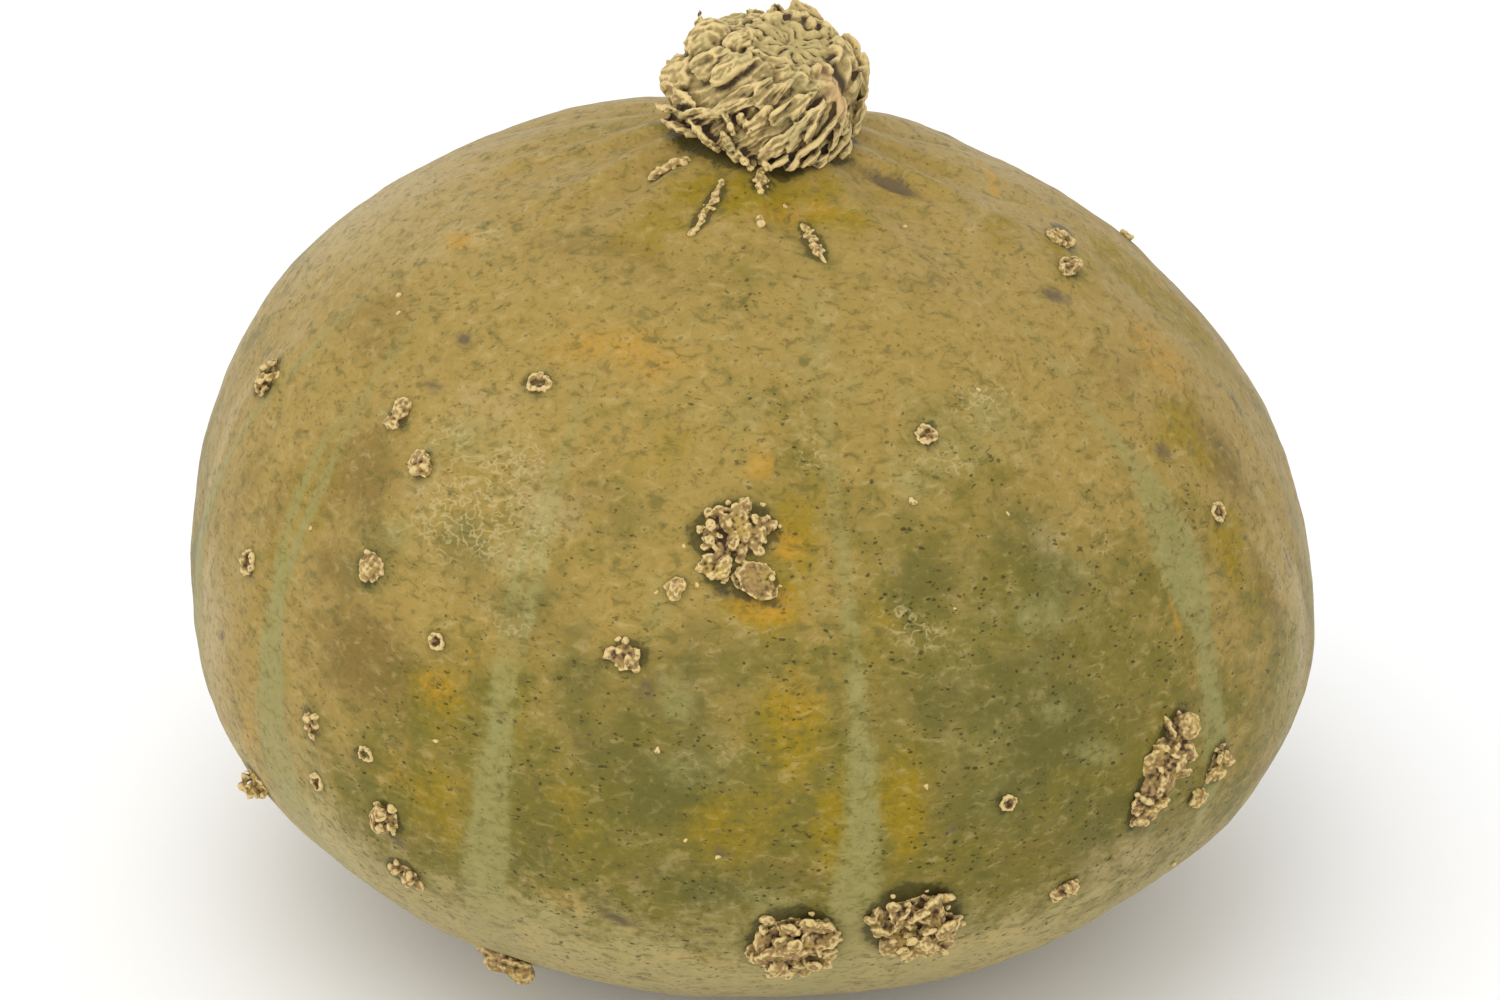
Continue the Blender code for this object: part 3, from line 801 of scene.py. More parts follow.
def rind_finish(look):
    make = Finish("waxy mottled rind")
    middling = make.cloud(0.0052, 4, 0.6, 0.4)
    fine = make.cloud(0.0011, 3, 0.6)
    ragged = make.sum("SUBTRACT", middling, 0.5)
    edge = make.sum("MULTIPLY_ADD", make.sum("SUBTRACT", fine, 0.5), 0.5, ragged)

    # The ground colours, then the tints in their patches, then the stripes
    brushed = make.cloud(0.0026, 3, 0.6, 0.7, place=make.mapped((1, 1, 1.9), (0.1, 0.2, 0)))
    upper = make.sum("MULTIPLY_ADD", ragged, 1.1, make.attribute("upper"))
    colour = make.mix(make.step(upper, 0.1, 0.9), look.olive, look.khaki)
    # The dust tint is dull bloom and, on the sides, painted light; the belly tint is the paler underside and painted
    # light from below.
    for name, tint, reach in (
        ("umber", look.umber, 0.85),
        ("dust_and_edge_light", look.dust_and_edge_light, 0.85),
        ("moss", look.moss, 0.8),
        ("sage", look.stripe, 0.6),
        ("ochre", look.ochre, 0.9),
        ("blush", look.blush, 0.75),
        ("belly", look.belly, 0.8),
    ):
        worn = make.sum("MULTIPLY_ADD", edge, 1.1, make.attribute(name))
        colour = make.mix(make.step(worn, 0.1, 0.95, 0.0, reach), colour, tint)
    side = make.sum("MULTIPLY_ADD", edge, 3.0, make.attribute("stripe"))
    stripe = make.sum("MULTIPLY", make.step(side, -1.1, 1.1), make.attribute("stripe_strength"))
    stripe = make.sum("MULTIPLY", stripe, make.step(brushed, 0.3, 0.55, 0.5, 0.97))
    # The stripes turn paler under the dust and belly tints, so they share that painted light.
    whiter = make.sum("MAXIMUM", make.attribute("belly"), make.attribute("dust_and_edge_light"))
    pale = make.mix(whiter, look.stripe, make.mix(0.55, look.stripe, look.belly))
    colour = make.mix(stripe, colour, pale)
    bare = make.sum("MULTIPLY_ADD", stripe, -0.6, 1.0)

    # Brushed smudges and fine grain
    calm = make.sum("MULTIPLY", bare, make.step(make.attribute("moss"), 0.2, 1.1, 1.0, 0.5))
    colour = make.mix(make.sum("MULTIPLY", bare, make.step(brushed, 0.5, 0.28, 0.0, 0.62)), colour, look.moss)
    colour = make.mix(make.sum("MULTIPLY", calm, make.step(brushed, 0.52, 0.76, 0.0, 0.45)), colour, look.belly)
    colour = make.mix(make.step(fine, 0.55, 0.85, 0.0, 0.3), colour, look.belly)
    colour = make.mix(make.step(fine, 0.46, 0.22, 0.0, 0.6), colour, look.moss)

    # Fine wriggling scratches in the scuffed patches
    bent = make.add("ShaderNodeTexNoise")
    make.give(bent.inputs["Vector"], make.place)
    bent.inputs["Scale"].default_value = 900
    bent.inputs["Detail"].default_value = 0
    shift = make.add("ShaderNodeVectorMath", operation="SCALE")
    make.give(shift.inputs[0], bent.outputs["Color"])
    shift.inputs["Scale"].default_value = 0.0009
    place = make.add("ShaderNodeVectorMath", operation="ADD")
    make.give(place.inputs[0], shift.outputs[0])
    make.give(place.inputs[1], make.mapped((1, 1, 1.5)))
    place = place.outputs[0]
    scuffed = make.sum("MULTIPLY_ADD", ragged, 1.8, make.attribute("scuff"))
    lines = make.cloud(0.0019, 1.5, 0.5, place=place)
    light = make.step(make.sum("ABSOLUTE", make.sum("SUBTRACT", lines, 0.46)), 0.06, 0.018)
    light = make.sum("MULTIPLY", light, make.step(scuffed, 0.2, 0.9, 0.0, 0.66))
    light = make.sum("MULTIPLY", light, make.step(brushed, 0.36, 0.5, 0.35, 1.0))
    colour = make.mix(light, colour, look.pale)

    # Dark dashes along the parallels, and dots of every size in loose clusters
    sparse = make.cloud(0.0048, 2, 0.6)
    dark = make.step(make.cloud(0.0013, 2, 0.6, 0.3, place=make.mapped((1, 1, 2.2), (0, 0.15, 0))), 0.63, 0.69)
    dark = make.sum("MULTIPLY", dark, make.step(sparse, 0.42, 0.56, 0.1, 0.85))
    cell = make.add("ShaderNodeTexVoronoi")
    make.give(cell.inputs["Vector"], place)
    cell.inputs["Scale"].default_value = 1 / look.speck_spacing
    size = make.step(cell.outputs["Color"], 0.36, 0.9, -0.05, 0.28)
    dots = make.step(make.sum("SUBTRACT", cell.outputs["Distance"], size), 0.07, -0.06)
    dots = make.sum("MULTIPLY", dots, make.step(sparse, 0.38, 0.54, 0.35, 0.95))
    dots = make.sum("MULTIPLY", dots, make.step(make.attribute("umber"), 0.1, 0.8, 1.0, 0.5))
    marks = make.sum("MULTIPLY", make.sum("MAXIMUM", dots, dark), make.step(upper, 0.4, 1.0, 1.0, 0.5))
    marks = make.sum("MULTIPLY", marks, bare)
    colour = make.mix(make.sum("MULTIPLY", marks, 0.85), colour, look.speck)

    # Bruises, and painted shade round each corky growth and under the stem's skirt
    bruise = make.sum("MULTIPLY_ADD", edge, 1.8, make.attribute("bruise"))
    colour = make.mix(make.step(bruise, 0.25, 0.9, 0.0, 0.85), colour, look.bruise)
    painted_shade = make.sum("MULTIPLY_ADD", edge, -5.0, make.attribute("shade_halo"))
    colour = make.mix(make.step(painted_shade, 1.7, 0.0, 0.0, 0.4), colour, look.moss)
    colour = make.mix(make.step(painted_shade, 0.5, -0.3, 0.0, 0.65), colour, look.speck)
    colour = make.mix(make.step(make.attribute("scar"), 0.2, 0.7), colour, look.scar)

    roughness = make.step(middling, 0.2, 0.8, 0.44, 0.62)
    height = make.sum("MULTIPLY_ADD", middling, 2.2, make.sum("MULTIPLY", fine, 0.7))
    normal = make.bump(make.sum("MULTIPLY_ADD", marks, -0.35, height), 0.0003, 0.7)
    return make.close(
        colour, roughness, normal, IOR=1.45, Specular_IOR_Level=0.12, Sheen_Weight=0.05, Sheen_Roughness=0.4
    )


def cork_finish(look):
    make = Finish("crumbly cork")
    grain = make.cloud(0.0007, 4, 0.65)
    # Painted light: the crest colour is a painted highlight on the high grains and the crease colour painted shade in
    # the hollows, led by the crest values and the grain.
    lift = make.sum("MULTIPLY_ADD", make.sum("SUBTRACT", grain, 0.5), 1.2, make.attribute("crest"))
    colour = make.mix(make.step(lift, -1.3, 0.2), look.crease, look.body)
    colour = make.mix(make.step(make.cloud(0.0035, 2), 0.48, 0.7, 0.0, 0.6), colour, look.yellow)
    pinkish = make.step(make.cloud(0.0028, 2, place=make.mapped(shift=(0.3, 0, 0))), 0.5, 0.7, 0.0, 0.5)
    colour = make.mix(make.sum("MULTIPLY", pinkish, make.step(lift, -0.8, 0.3)), colour, look.pink)
    colour = make.mix(make.step(lift, 0.2, 1.4), colour, look.crest)
    colour = make.mix(make.step(lift, -0.5, -1.6, 0.0, 0.9), colour, look.crease)
    # Painted shade in the small pits.
    pits = make.step(make.cells(0.001), 0.24, 0.14)
    colour = make.mix(make.sum("MULTIPLY", pits, 0.5), colour, look.crease)
    normal = make.bump(grain, 0.0003, 0.8)
    normal = make.bump(make.sum("SUBTRACT", 1.0, pits), 0.0002, 0.6, normal)
    return make.close(colour, make.step(grain, 0.2, 0.8, 0.75, 0.95), normal, Specular_IOR_Level=0.25)


def stem_finish(look):
    make = Finish("crumpled stem cork")
    cut = make.attribute("cut")
    grain = make.cloud(0.0008, 5, 0.65)
    fibre = make.cloud(0.0018, 4, 0.6, 0.5, place=make.mapped((1, 1, 0.4), turn=(0.3, 0.5, 0)))
    # Painted light: the crest colour is a painted highlight on the high folds and the crease colour painted shade in
    # the creases.
    lift = make.sum("MULTIPLY_ADD", make.sum("SUBTRACT", fibre, 0.5), 1.2, make.attribute("crest"))
    colour = make.mix(make.step(lift, -1.6, -0.1), look.crease, look.body)
    colour = make.mix(make.step(lift, -0.2, 1.0), colour, look.crest)
    green = make.step(make.cloud(0.005, 3), 0.48, 0.7, 0.0, 0.55)
    colour = make.mix(make.sum("MULTIPLY", green, make.step(lift, -1.0, 0.2)), colour, look.moss)
    worn = make.sum("MULTIPLY", cut, make.step(lift, -1.4, -0.2))
    colour = make.mix(make.sum("MULTIPLY", worn, 0.7), colour, look.cut)
    colour = make.mix(make.sum("MULTIPLY", make.attribute("peach"), 0.8), colour, look.peach)
    # Painted shade in the pits, in the crack and in the low grain.
    pits = make.step(make.cells(0.0013), 0.16, 0.08)
    pits = make.sum("MULTIPLY", pits, make.step(make.cloud(0.004, 2), 0.42, 0.6))
    dark = make.sum("MAXIMUM", make.sum("MULTIPLY", pits, 0.6), make.step(make.attribute("crack"), 0.25, 0.7, 0.0, 0.95))
    colour = make.mix(dark, colour, look.crease)
    colour = make.mix(make.step(grain, 0.45, 0.2, 0.0, 0.35), colour, look.crease)
    normal = make.bump(grain, 0.0003, 0.6)
    normal = make.bump(fibre, 0.0006, 0.5, normal)
    normal = make.bump(make.sum("SUBTRACT", 1.0, pits), 0.0003, 0.7, normal)
    return make.close(colour, make.step(grain, 0.2, 0.8, 0.7, 0.92), normal, Specular_IOR_Level=0.3)


def colour_setting(name, description, value):
    return bpy.props.FloatVectorProperty(
        name=name, description=description, default=value, size=3, min=0, max=1, subtype="COLOR"
    )


def length_setting(name, description, value, low, high):
    return bpy.props.FloatProperty(
        name=name, description=description, default=value, min=low, max=high, precision=5, unit="LENGTH"
    )


class SkinSettings(bpy.types.PropertyGroup):
    olive: colour_setting("Olive", "Colour of the lower skin", (0.150, 0.122, 0.018))
    khaki: colour_setting("Khaki", "Colour of the upper skin", (0.298, 0.203, 0.050))
    umber: colour_setting("Umber", "Colour of the brown skin", (0.158, 0.100, 0.020))
    moss: colour_setting("Moss", "Colour of the darkest green skin", (0.096, 0.088, 0.019))
    # Dust: dull, greyish bloom, and painted light on the sides of the fruit.
    dust_and_edge_light: colour_setting("Dust", "Colour of the dull, greyish skin", (0.37, 0.28, 0.125))
    ochre: colour_setting("Ochre", "Colour of the yellow skin", (0.235, 0.158, 0.004))
    blush: colour_setting("Blush", "Colour of the orange spots", (0.420, 0.220, 0.020))
    stripe: colour_setting("Stripe", "Colour of the pale stripes", (0.243, 0.222, 0.074))
    # Belly: the paler underside, and painted light from below.
    belly: colour_setting("Belly", "Colour of the pale skin low down", (0.40, 0.32, 0.13))
    pale: colour_setting("Scuff", "Colour of the light scuffs", (0.40, 0.32, 0.14))
    speck: colour_setting("Speck", "Colour of the dots and dashes", (0.030, 0.026, 0.008))
    bruise: colour_setting("Bruise", "Colour of the bruises and furrows", (0.105, 0.075, 0.042))
    scar: colour_setting("Scar", "Colour of the blossom scar", (0.26, 0.18, 0.10))
    speck_spacing: length_setting("Speck spacing", "Distance between the dots", 0.0013, 0.0005, 0.01)
    unevenness: length_setting("Unevenness", "How far the skin swells and sinks", 0.0004, 0, 0.002)


class CorkSettings(bpy.types.PropertyGroup):
    # Crest is a painted highlight on the high grains; crease is painted shade in the hollows.
    crest: colour_setting("Crest", "Colour of the high grains", (0.60, 0.45, 0.195))
    body: colour_setting("Body", "Colour of the cork between", (0.275, 0.178, 0.060))
    crease: colour_setting("Crease", "Colour in the hollows", (0.060, 0.034, 0.018))
    yellow: colour_setting("Yellow", "Colour of the yellowish grains", (0.44, 0.31, 0.07))
    pink: colour_setting("Pink", "Colour of the pinkish grains", (0.40, 0.25, 0.135))
    grain: length_setting("Grain", "Size of the mesh that the lumps melt into", 0.00022, 0.0001, 0.001)
    roughening: length_setting("Roughening", "Depth of the hollows between the grains", 0.00018, 0, 0.002)


class StemSettings(bpy.types.PropertyGroup):
    # Crest is a painted highlight on the high folds; crease is painted shade in the creases.
    crest: colour_setting("Crest", "Colour of the high folds", (0.63, 0.48, 0.215))
    body: colour_setting("Body", "Colour of the folds' sides", (0.30, 0.218, 0.080))
    crease: colour_setting("Crease", "Colour in the creases", (0.060, 0.038, 0.020))
    cut: colour_setting("Cut", "Colour of the dried cut", (0.43, 0.34, 0.135))
    moss: colour_setting("Moss", "Colour of the greenish cork", (0.30, 0.26, 0.105))
    peach: colour_setting("Peach", "Colour of the fresh cork beside the crack", (0.46, 0.29, 0.135))
    fold_depth: length_setting("Fold depth", "Depth of the fine folds", 0.0005, 0, 0.005)
    grain: length_setting("Grain", "Size of the stem's mesh", 0.00024, 0.0001, 0.001)


class StageSettings(bpy.types.PropertyGroup):
    floor: colour_setting("Floor", "Colour of the floor", (0.86, 0.86, 0.86))
    reach: length_setting("Floor size", "Length of the floor's sides", 4.0, 1, 20)
    distance: length_setting("Camera distance", "From the camera to the squash's middle", 0.72, 0.3, 3)
    elevation: bpy.props.FloatProperty(
        name="Camera elevation", description="Height of the camera above the horizon", default=math.radians(26), unit="ROTATION"
    )
    lens: bpy.props.FloatProperty(name="Lens", description="Focal length", default=107.8, unit="CAMERA")
    soft_light: bpy.props.FloatProperty(name="Soft light", description="Power of the light above, in watts", default=4.0)
    sky: bpy.props.FloatProperty(name="Surround", description="Strength of the light all round", default=1.0)


def distance_to_growths(points):
    """Distance from each point to the edge of the nearest corky growth, in millimetres."""
    nearest = np.full(len(points), 50.0)
    for entry in (*CRUSTS, *WARTS, *STREAKS, *BACK_GROWTHS):
        foot, axes = placed(entry)
        local = (points - np.array(foot)) @ np.array(axes) * 1000
        reach = np.hypot(local[:, 0] / (entry[2] / 2), local[:, 1] / (entry[3] / 2))
        span = np.hypot(local[:, 0], local[:, 1]) + 1e-6
        edge = span * (1 - 1 / np.maximum(reach, 1e-6))
        nearest = np.minimum(nearest, np.where(np.abs(local[:, 2]) < 8, edge, 50))
    return nearest


def patch_weight(points, rows):
    """How strongly a tint's patches cover each point."""
    weight = np.zeros(len(points))
    for longitude, latitude, half_width, half_height, turn, strength in rows:
        foot, axes = placed((longitude, latitude, 0, 0, 0, turn))
        local = (points - np.array(foot)) @ np.array(axes) * 1000
        reach = np.hypot(local[:, 0] / half_width, local[:, 1] / half_height)
        weight = np.maximum(weight, strength * np.exp(-(reach**2)) * (np.abs(local[:, 2]) < 40))
    return weight


STRIPE_LATITUDES = (-90, -60, -40, -20, -5, 5, 15, 25, 35, 45, 58)
STRIPE_HALF_WIDTHS = (0.5, 2.4, 4.4, 4.2, 3.6, 2.5, 1.15, 0.85, 0.8, 0.7, 0.4)
STRIPE_STRENGTHS = (0.3, 0.6, 0.85, 0.9, 0.92, 0.92, 0.9, 0.82, 0.62, 0.35, 0.0)
STRIPE_FULLNESS = {-82: 1.5, -53: 1.35, -25: 1.0, 50: 1.1, 86: 1.8}
STRIPE_ENDS = {50: 3}
STRIPE_BULGES = {50: (23, 8, 3.2), -25: (25, 6, 0.7), -53: (22, 8, 0.6)}
SPLIT_STRIPES = {-25: (8, 32, 1.6), 50: (14, 24, 2.2), -53: (12, 34, 2.0), 158: (0, 24, 1.6)}
STRIPE_BENDS = {-82: ((0, 10, 30), (6, 6, 13)), -53: ((-10, 5, 20, 35, 44), (0, -1.5, -1.5, -1, -4)), -25: ((-20, 0, 30), (-2, 0, 2)), 50: ((10, 30, 38), (0, 1, -1)), 86: ((0, 30), (-6, -6))}


def stripe_side(latitude, longitude):
    """How far inside a pale stripe each place lies, in millimetres, and how strong the stripe is there."""
    degrees = np.degrees(latitude)
    radius = globe(latitude)[0] * 1000
    half = np.interp(degrees, STRIPE_LATITUDES, STRIPE_HALF_WIDTHS)
    inside = np.full(len(latitude), -50.0)
    for stripe in STRIPES:
        bend = np.radians(np.interp(degrees, *STRIPE_BENDS.get(stripe, ((0,), (0,)))))
        offset = np.abs((away_from(longitude, stripe) - bend) * radius)
        high, spread, extra = STRIPE_BULGES.get(stripe, (0, 1, 0))
        fuller = (STRIPE_FULLNESS.get(stripe, 1.0) - 1) * np.clip((16 - degrees) / 10, 0, 1)
        half_here = half * (1 + fuller) + extra * bell(degrees - high, spread)
        half_here -= 4 * np.clip((STRIPE_ENDS.get(stripe, -90) - degrees) / 14, 0, 1)
        if stripe in SPLIT_STRIPES:
            low, high, gap = SPLIT_STRIPES[stripe]
            gap = gap * np.sin(np.pi * np.clip((degrees - low) / (high - low), 0, 1)) ** 0.5
            offset = np.abs(offset - gap)
            half_here = half_here - gap * 0.3
        inside = np.maximum(inside, half_here - offset)
    return inside, np.interp(degrees, STRIPE_LATITUDES, STRIPE_STRENGTHS)


class KABOCHA_OT_skin(bpy.types.Operator):
    """Grow the skin of the fruit"""

    bl_idname = "kabocha.skin"
    bl_label = "Skin"

    def execute(self, context):
        look = context.scene.kabocha_skin
        deselect_all()
        bpy.ops.mesh.primitive_uv_sphere_add(segments=384, ring_count=250, radius=1)
        fruit = context.object
        fruit.name = fruit.data.name = "fruit_skin"
        ball = corners_of(fruit.data)
        latitude = np.arcsin(np.clip(ball[:, 2], -1, 1))
        longitude = np.arctan2(ball[:, 0], -ball[:, 1])
        points = skin(latitude, longitude)
        out = points - MIDDLE
        out /= np.linalg.norm(out, axis=1)[:, None]
        degrees = np.degrees(latitude)
        radius, height = globe(latitude)
        swell = noise_at(points, 0.018) + 0.5 * noise_at(points, 0.007) + 0.3 * noise_at(points, 0.003)
        spokes = np.stack((np.sin(longitude), -np.cos(longitude), radius / 0.09), 1)
        spokes = noise_at(spokes, 0.16) + 0.6 * noise_at(spokes, 0.07)
        spokes *= bell(radius - 0.03, 0.022) * (height > 0)
        # Distance to the growths and to the edge of the stem's skirt, which leads the painted shade round them and the
        # low mound of skin there
        near = distance_to_growths(points)
        low = np.full(len(longitude), math.radians(-24))
        ways = np.stack((np.sin(longitude), -np.cos(longitude), np.tan(low)), 1) * np.cos(low)[:, None]
        skirt = stem_reach(ways, low) * np.cos(low)
        near = np.minimum(near, np.where(height > 0, radius - skirt, 1) * 1000 - 0.2)
        mound = bell(np.maximum(near, 0), 3.0) * 0.00025
        relief = sum(row[5] * 0.0015 * patch_weight(points, (row[:5] + (1.0,),)) for row in RELIEF)
        moved = look.unevenness * (swell + 0.9 * spokes) + mound + relief
        inside, strength = stripe_side(latitude, longitude)
        broad, blotches = clouds(points, 0.03), clouds(points, 0.011)
        upper = 0.5 + 0.5 * np.clip((degrees - 18) / 30, -1, 1) + 0.3 * broad + 0.3 * blotches
        # Khaki also spreads towards the bottom: the paler underside, and painted light from below.
        upper += 0.35 * spokes + 0.5 * np.clip((-12 - degrees) / 20, 0, 1)
        upper += 0.5 * bell(away_from(longitude, -60), 0.42) + 0.35 * bell(away_from(longitude, 76), 0.3)
        store(fruit.data, "upper", upper)
        store(fruit.data, "stripe", inside)
        store(fruit.data, "stripe_strength", strength)
        # Distance to the nearest growth or the stem's skirt, in millimetres, for the painted shade round them
        store(fruit.data, "shade_halo", near)
        store(fruit.data, "scar", np.where(height < 0, bell(radius, SCAR_WIDTH * 1.3), 0))
        bent = points + 0.0022 * np.stack([noise_at(points + 0.1 * axis, 0.008) for axis in range(3)], 1)
        fields = [clouds(points + 0.3 * shift, 0.009) for shift in (1, 2, 3)]
        uneven = {"moss": fields[0] + 0.6 * blotches, "sage": fields[1] - 0.5 * fields[0], "ochre": fields[2]}
        for name, rows in PATCHES.items():
            weight = patch_weight(bent if name != "bruise" else points, rows)
            if name in uneven:
                weight = weight * (1 + 0.5 * uneven[name]) + 0.14 * uneven[name]
            store(fruit.data, name, weight)
        # Pale belly: the fruit's paler underside, and painted light from below.
        store(fruit.data, "belly", np.clip((-2 - degrees) / 18 + 0.15 * broad + 0.15 * fields[1] * (degrees < 0), 0, 1))
        points = points + out * moved[:, None]
        points[:, 2] = np.maximum(points[:, 2], 0)
        set_corners(fruit.data, points)
        finish_piece(fruit, rind_finish(look), "rind", "fruit")
        return {"FINISHED"}


def tumbled(axes, draw, tilt):
    """Axes turned at random about their outward one, then tilted by up to an angle."""
    turn = Matrix.Rotation(draw.uniform(0, math.tau), 3, "Z")
    return axes @ turn @ Matrix.Rotation(draw.uniform(-tilt, tilt), 3, "X")


def grow(entry, lumps):
    """Adds one growth: a low bed under a crowd of grains, shards or curled flakes."""
    foot, axes = placed(entry)
    draw = lumps.draw
    _, _, length, width, height, _, kind = entry
    half_length, half_width, rise = length / 2000, width / 2000, height / 1000
    mean = math.sqrt(half_length * half_width)

    def spot(across, along, level):
        level -= (across**2 + along**2) / (2 * HALF_WIDTH)
        return foot + axes @ Vector((across, along, level))

    def strew(kind, count, size, flatness, low, high, tilt, reach=0.95, curl=0.0, rough=(0.75, 1.2)):
        for number in range(count):
            spread = math.sqrt((number + 0.5) / count)
            angle = number * 2.39996 + draw.uniform(-0.4, 0.4)
            far = spread * reach * draw.uniform(0.9, 1.08)
            across, along = far * half_length * math.cos(angle), far * half_width * math.sin(angle)
            level = rise * (1 - 0.8 * spread**3) * draw.uniform(low, high)
            half = size * draw.uniform(0.6, 1.4)
            shape = (half, half * draw.uniform(0.6, 1), half * flatness * draw.uniform(0.8, 1.2))
            lumps.add(kind, spot(across, along, level), tumbled(axes, draw, tilt), shape, rough, curl * draw.uniform(0.3, 1))

    if kind == "plate":
        tipped = axes @ Matrix.Rotation(0.22, 3, "Y") @ Matrix.Rotation(-0.15, 3, "X")
        lumps.add("flake", foot + axes.col[2] * rise * 0.3, tipped, (half_length * 1.05, half_width * 1.05, rise * 0.55), (0.9, 1.14))
        lumps.add("flake", foot + axes @ Vector((-half_length * 0.55, -half_width * 0.3, rise * 0.25)), axes, (half_length * 0.6, half_width * 0.7, rise * 0.5))
        strew("shard", 9, 0.0005, 0.8, 0.2, 0.5, 1.5, 1.05)
        return
    if kind == "ring":
        lumps.add("bed", foot, axes, (half_length * 0.8, half_width * 0.8, rise * 0.28), (0.92, 1.08))
        for number in range(11):
            angle = math.tau * number / 11
            far = draw.uniform(0.66, 0.86)
            edge = spot(far * half_length * math.cos(angle), far * half_width * math.sin(angle), rise * draw.uniform(0.2, 0.45))
            half = mean * draw.uniform(0.24, 0.42)
            lumps.add("grain", edge, tumbled(axes, draw, 0.6), (half, half * 0.8, rise * draw.uniform(0.3, 0.5)))
        return
    if kind == "streak":
        count = int(length * 2.4)
        for number in range(count):
            along = (number + 0.5) / count * 2 - 1
            fill = 0.75 * (1 - 0.55 * (0.5 + 0.5 * math.cos(3 * math.pi * along)) * (along < 0.6))
            middle = spot(along * half_length * 0.95, draw.uniform(-0.4, 0.4) * half_width * fill, rise * draw.uniform(0.05, 0.35))
            lean_in = axes @ Matrix.Rotation(draw.uniform(-0.3, 0.3), 3, "Z")
            shape = (0.0011 * draw.uniform(0.7, 1.3), half_width * fill * draw.uniform(0.35, 0.7), rise * draw.uniform(0.3, 0.5))
            lumps.add("shard", middle, lean_in, shape, (0.8, 1.2))
        strew("grain", count, 0.0004, 0.8, 0.2, 0.5, 1.0, 0.8)
        return
    if kind == "lump":
        body = (half_length * 0.9, half_width * 0.9, rise * 0.9)
        lumps.add("shard", foot, tumbled(axes, draw, 0.3), body, (0.85, 1.2))
        lumps.add("bed", foot, axes, (half_length, half_width * 0.9, rise * 0.4), (0.85, 1.15))
        strew("shard", 9, 0.0007, 0.7, 0.1, 0.6, 1.5, 1.0)
        return
    area = half_length * half_width
    if kind == "ridge":
        lumps.add("bed", foot, axes, (half_length * 0.9, half_width * 0.8, rise * 0.8), (0.9, 1.1))
        lumps.add("grain", spot(half_length * 0.72, 0, rise * 0.6), axes, (0.0022, 0.002, 0.0018), (0.92, 1.1))
    if kind in ("popcorn", "ridge"):
        lumps.add("bed", foot, axes, (half_length * 0.72, half_width * 0.72, rise * 0.22), (0.85, 1.1))
        strew("bed", max(5, int(area / 0.0019**2)), 0.0024, 0.3, 0.3, 0.72, 1.2, 0.74, 0.3, (0.84, 1.12))
        strew("bed", max(5, int(area / 0.0015**2)), 0.0015, 0.38, 0.35, 0.95, 1.4, 0.92, 0.4, (0.82, 1.15))
        strew("shard", int(area / 0.0014**2), 0.0007, 0.8, 0.1, 0.7, 1.5, 1.0)
        return
    lumps.add("bed", foot, axes, (half_length * 0.78, half_width * 0.78, rise * 0.36), (0.85, 1.12))
    strew("bed", max(2, int(area / 0.0017**2)), 0.0014, 0.5, 0.3, 0.75, 1.0, 0.78, 0.2, (0.75, 1.2))
    strew("shard", max(7, int(area / 0.001**2 * 0.9)), 0.0009, 0.7, 0.35, 0.9, 1.5, 0.95, 0.0, (0.6, 1.3))
    strew("grain", max(5, int(area / 0.001**2 * 0.5)), 0.0004, 0.85, 0.3, 0.8, 1.0, 1.0, 0.0, (0.7, 1.3))


def roughen(thing, depth):
    """Cuts hollows and grains into melted cork, and keeps how high each corner stands."""
    mesh = thing.data
    points, normals = corners_of(mesh), normals_of(mesh)
    shift = np.empty(len(points))
    for number, point in enumerate(points.tolist()):
        spot = Vector(point)
        warped = spot + 0.0006 * noise.noise_vector(spot / 0.0011)
        near, far = noise.voronoi(warped / 0.001)[0][:2]
        shift[number] = min(far - near, 0.4) * 1.6 - 0.4 + 0.7 * noise.noise(spot / 0.0006)
    set_corners(mesh, points + normals * (depth * shift)[:, None])
    store_crests(mesh)


class KABOCHA_OT_growths(bpy.types.Operator):
    """Grow the corky crusts, warts and streaks"""

    bl_idname = "kabocha.growths"
    bl_label = "Corky growths"

    def execute(self, context):
        look = context.scene.kabocha_cork
        finish = cork_finish(look)
        for name, rows, seed in (
            ("crusts", CRUSTS, 5),
            ("warts", (*WARTS, *STREAKS), 8),
            ("back_growths", BACK_GROWTHS, 13),
        ):
            lumps = Lumps(seed)
            for entry in rows:
                grow(entry, lumps)
            piece = lumps.melt(name, look.grain)
            roughen(piece, look.roughening)
            finish_piece(piece, finish, "cork", "fruit")
        return {"FINISHED"}


class KABOCHA_OT_crumbs(bpy.types.Operator):
    """Strew loose crumbs of cork over the skin"""

    bl_idname = "kabocha.crumbs"
    bl_label = "Crumbs"

    def execute(self, context):
        lumps = Lumps(31)
        for longitude, latitude, size in CRUMBS:
            foot, axes = placed((longitude, latitude, 0, 0, 0, lumps.draw.uniform(0, 180)))
            half = size / 2000
            for _ in range(3):
                shift = Vector((lumps.draw.uniform(-0.5, 0.5), lumps.draw.uniform(-0.5, 0.5), 0.3)) * half
                shape = (half * lumps.draw.uniform(0.5, 0.9), half * 0.6, half * 0.55)
                lumps.add("grain", foot + axes @ shift, tumbled(axes, lumps.draw, 0.6), shape, (0.75, 1.2))
        piece = lumps.melt("crumbs", 0.0002)
        store_crests(piece.data)
        finish_piece(piece, bpy.data.materials["crumbly cork"], "cork", "fruit")
        return {"FINISHED"}


def direction(latitude, longitude):
    across = math.cos(latitude)
    return Vector((math.sin(longitude) * across, -math.cos(longitude) * across, math.sin(latitude)))


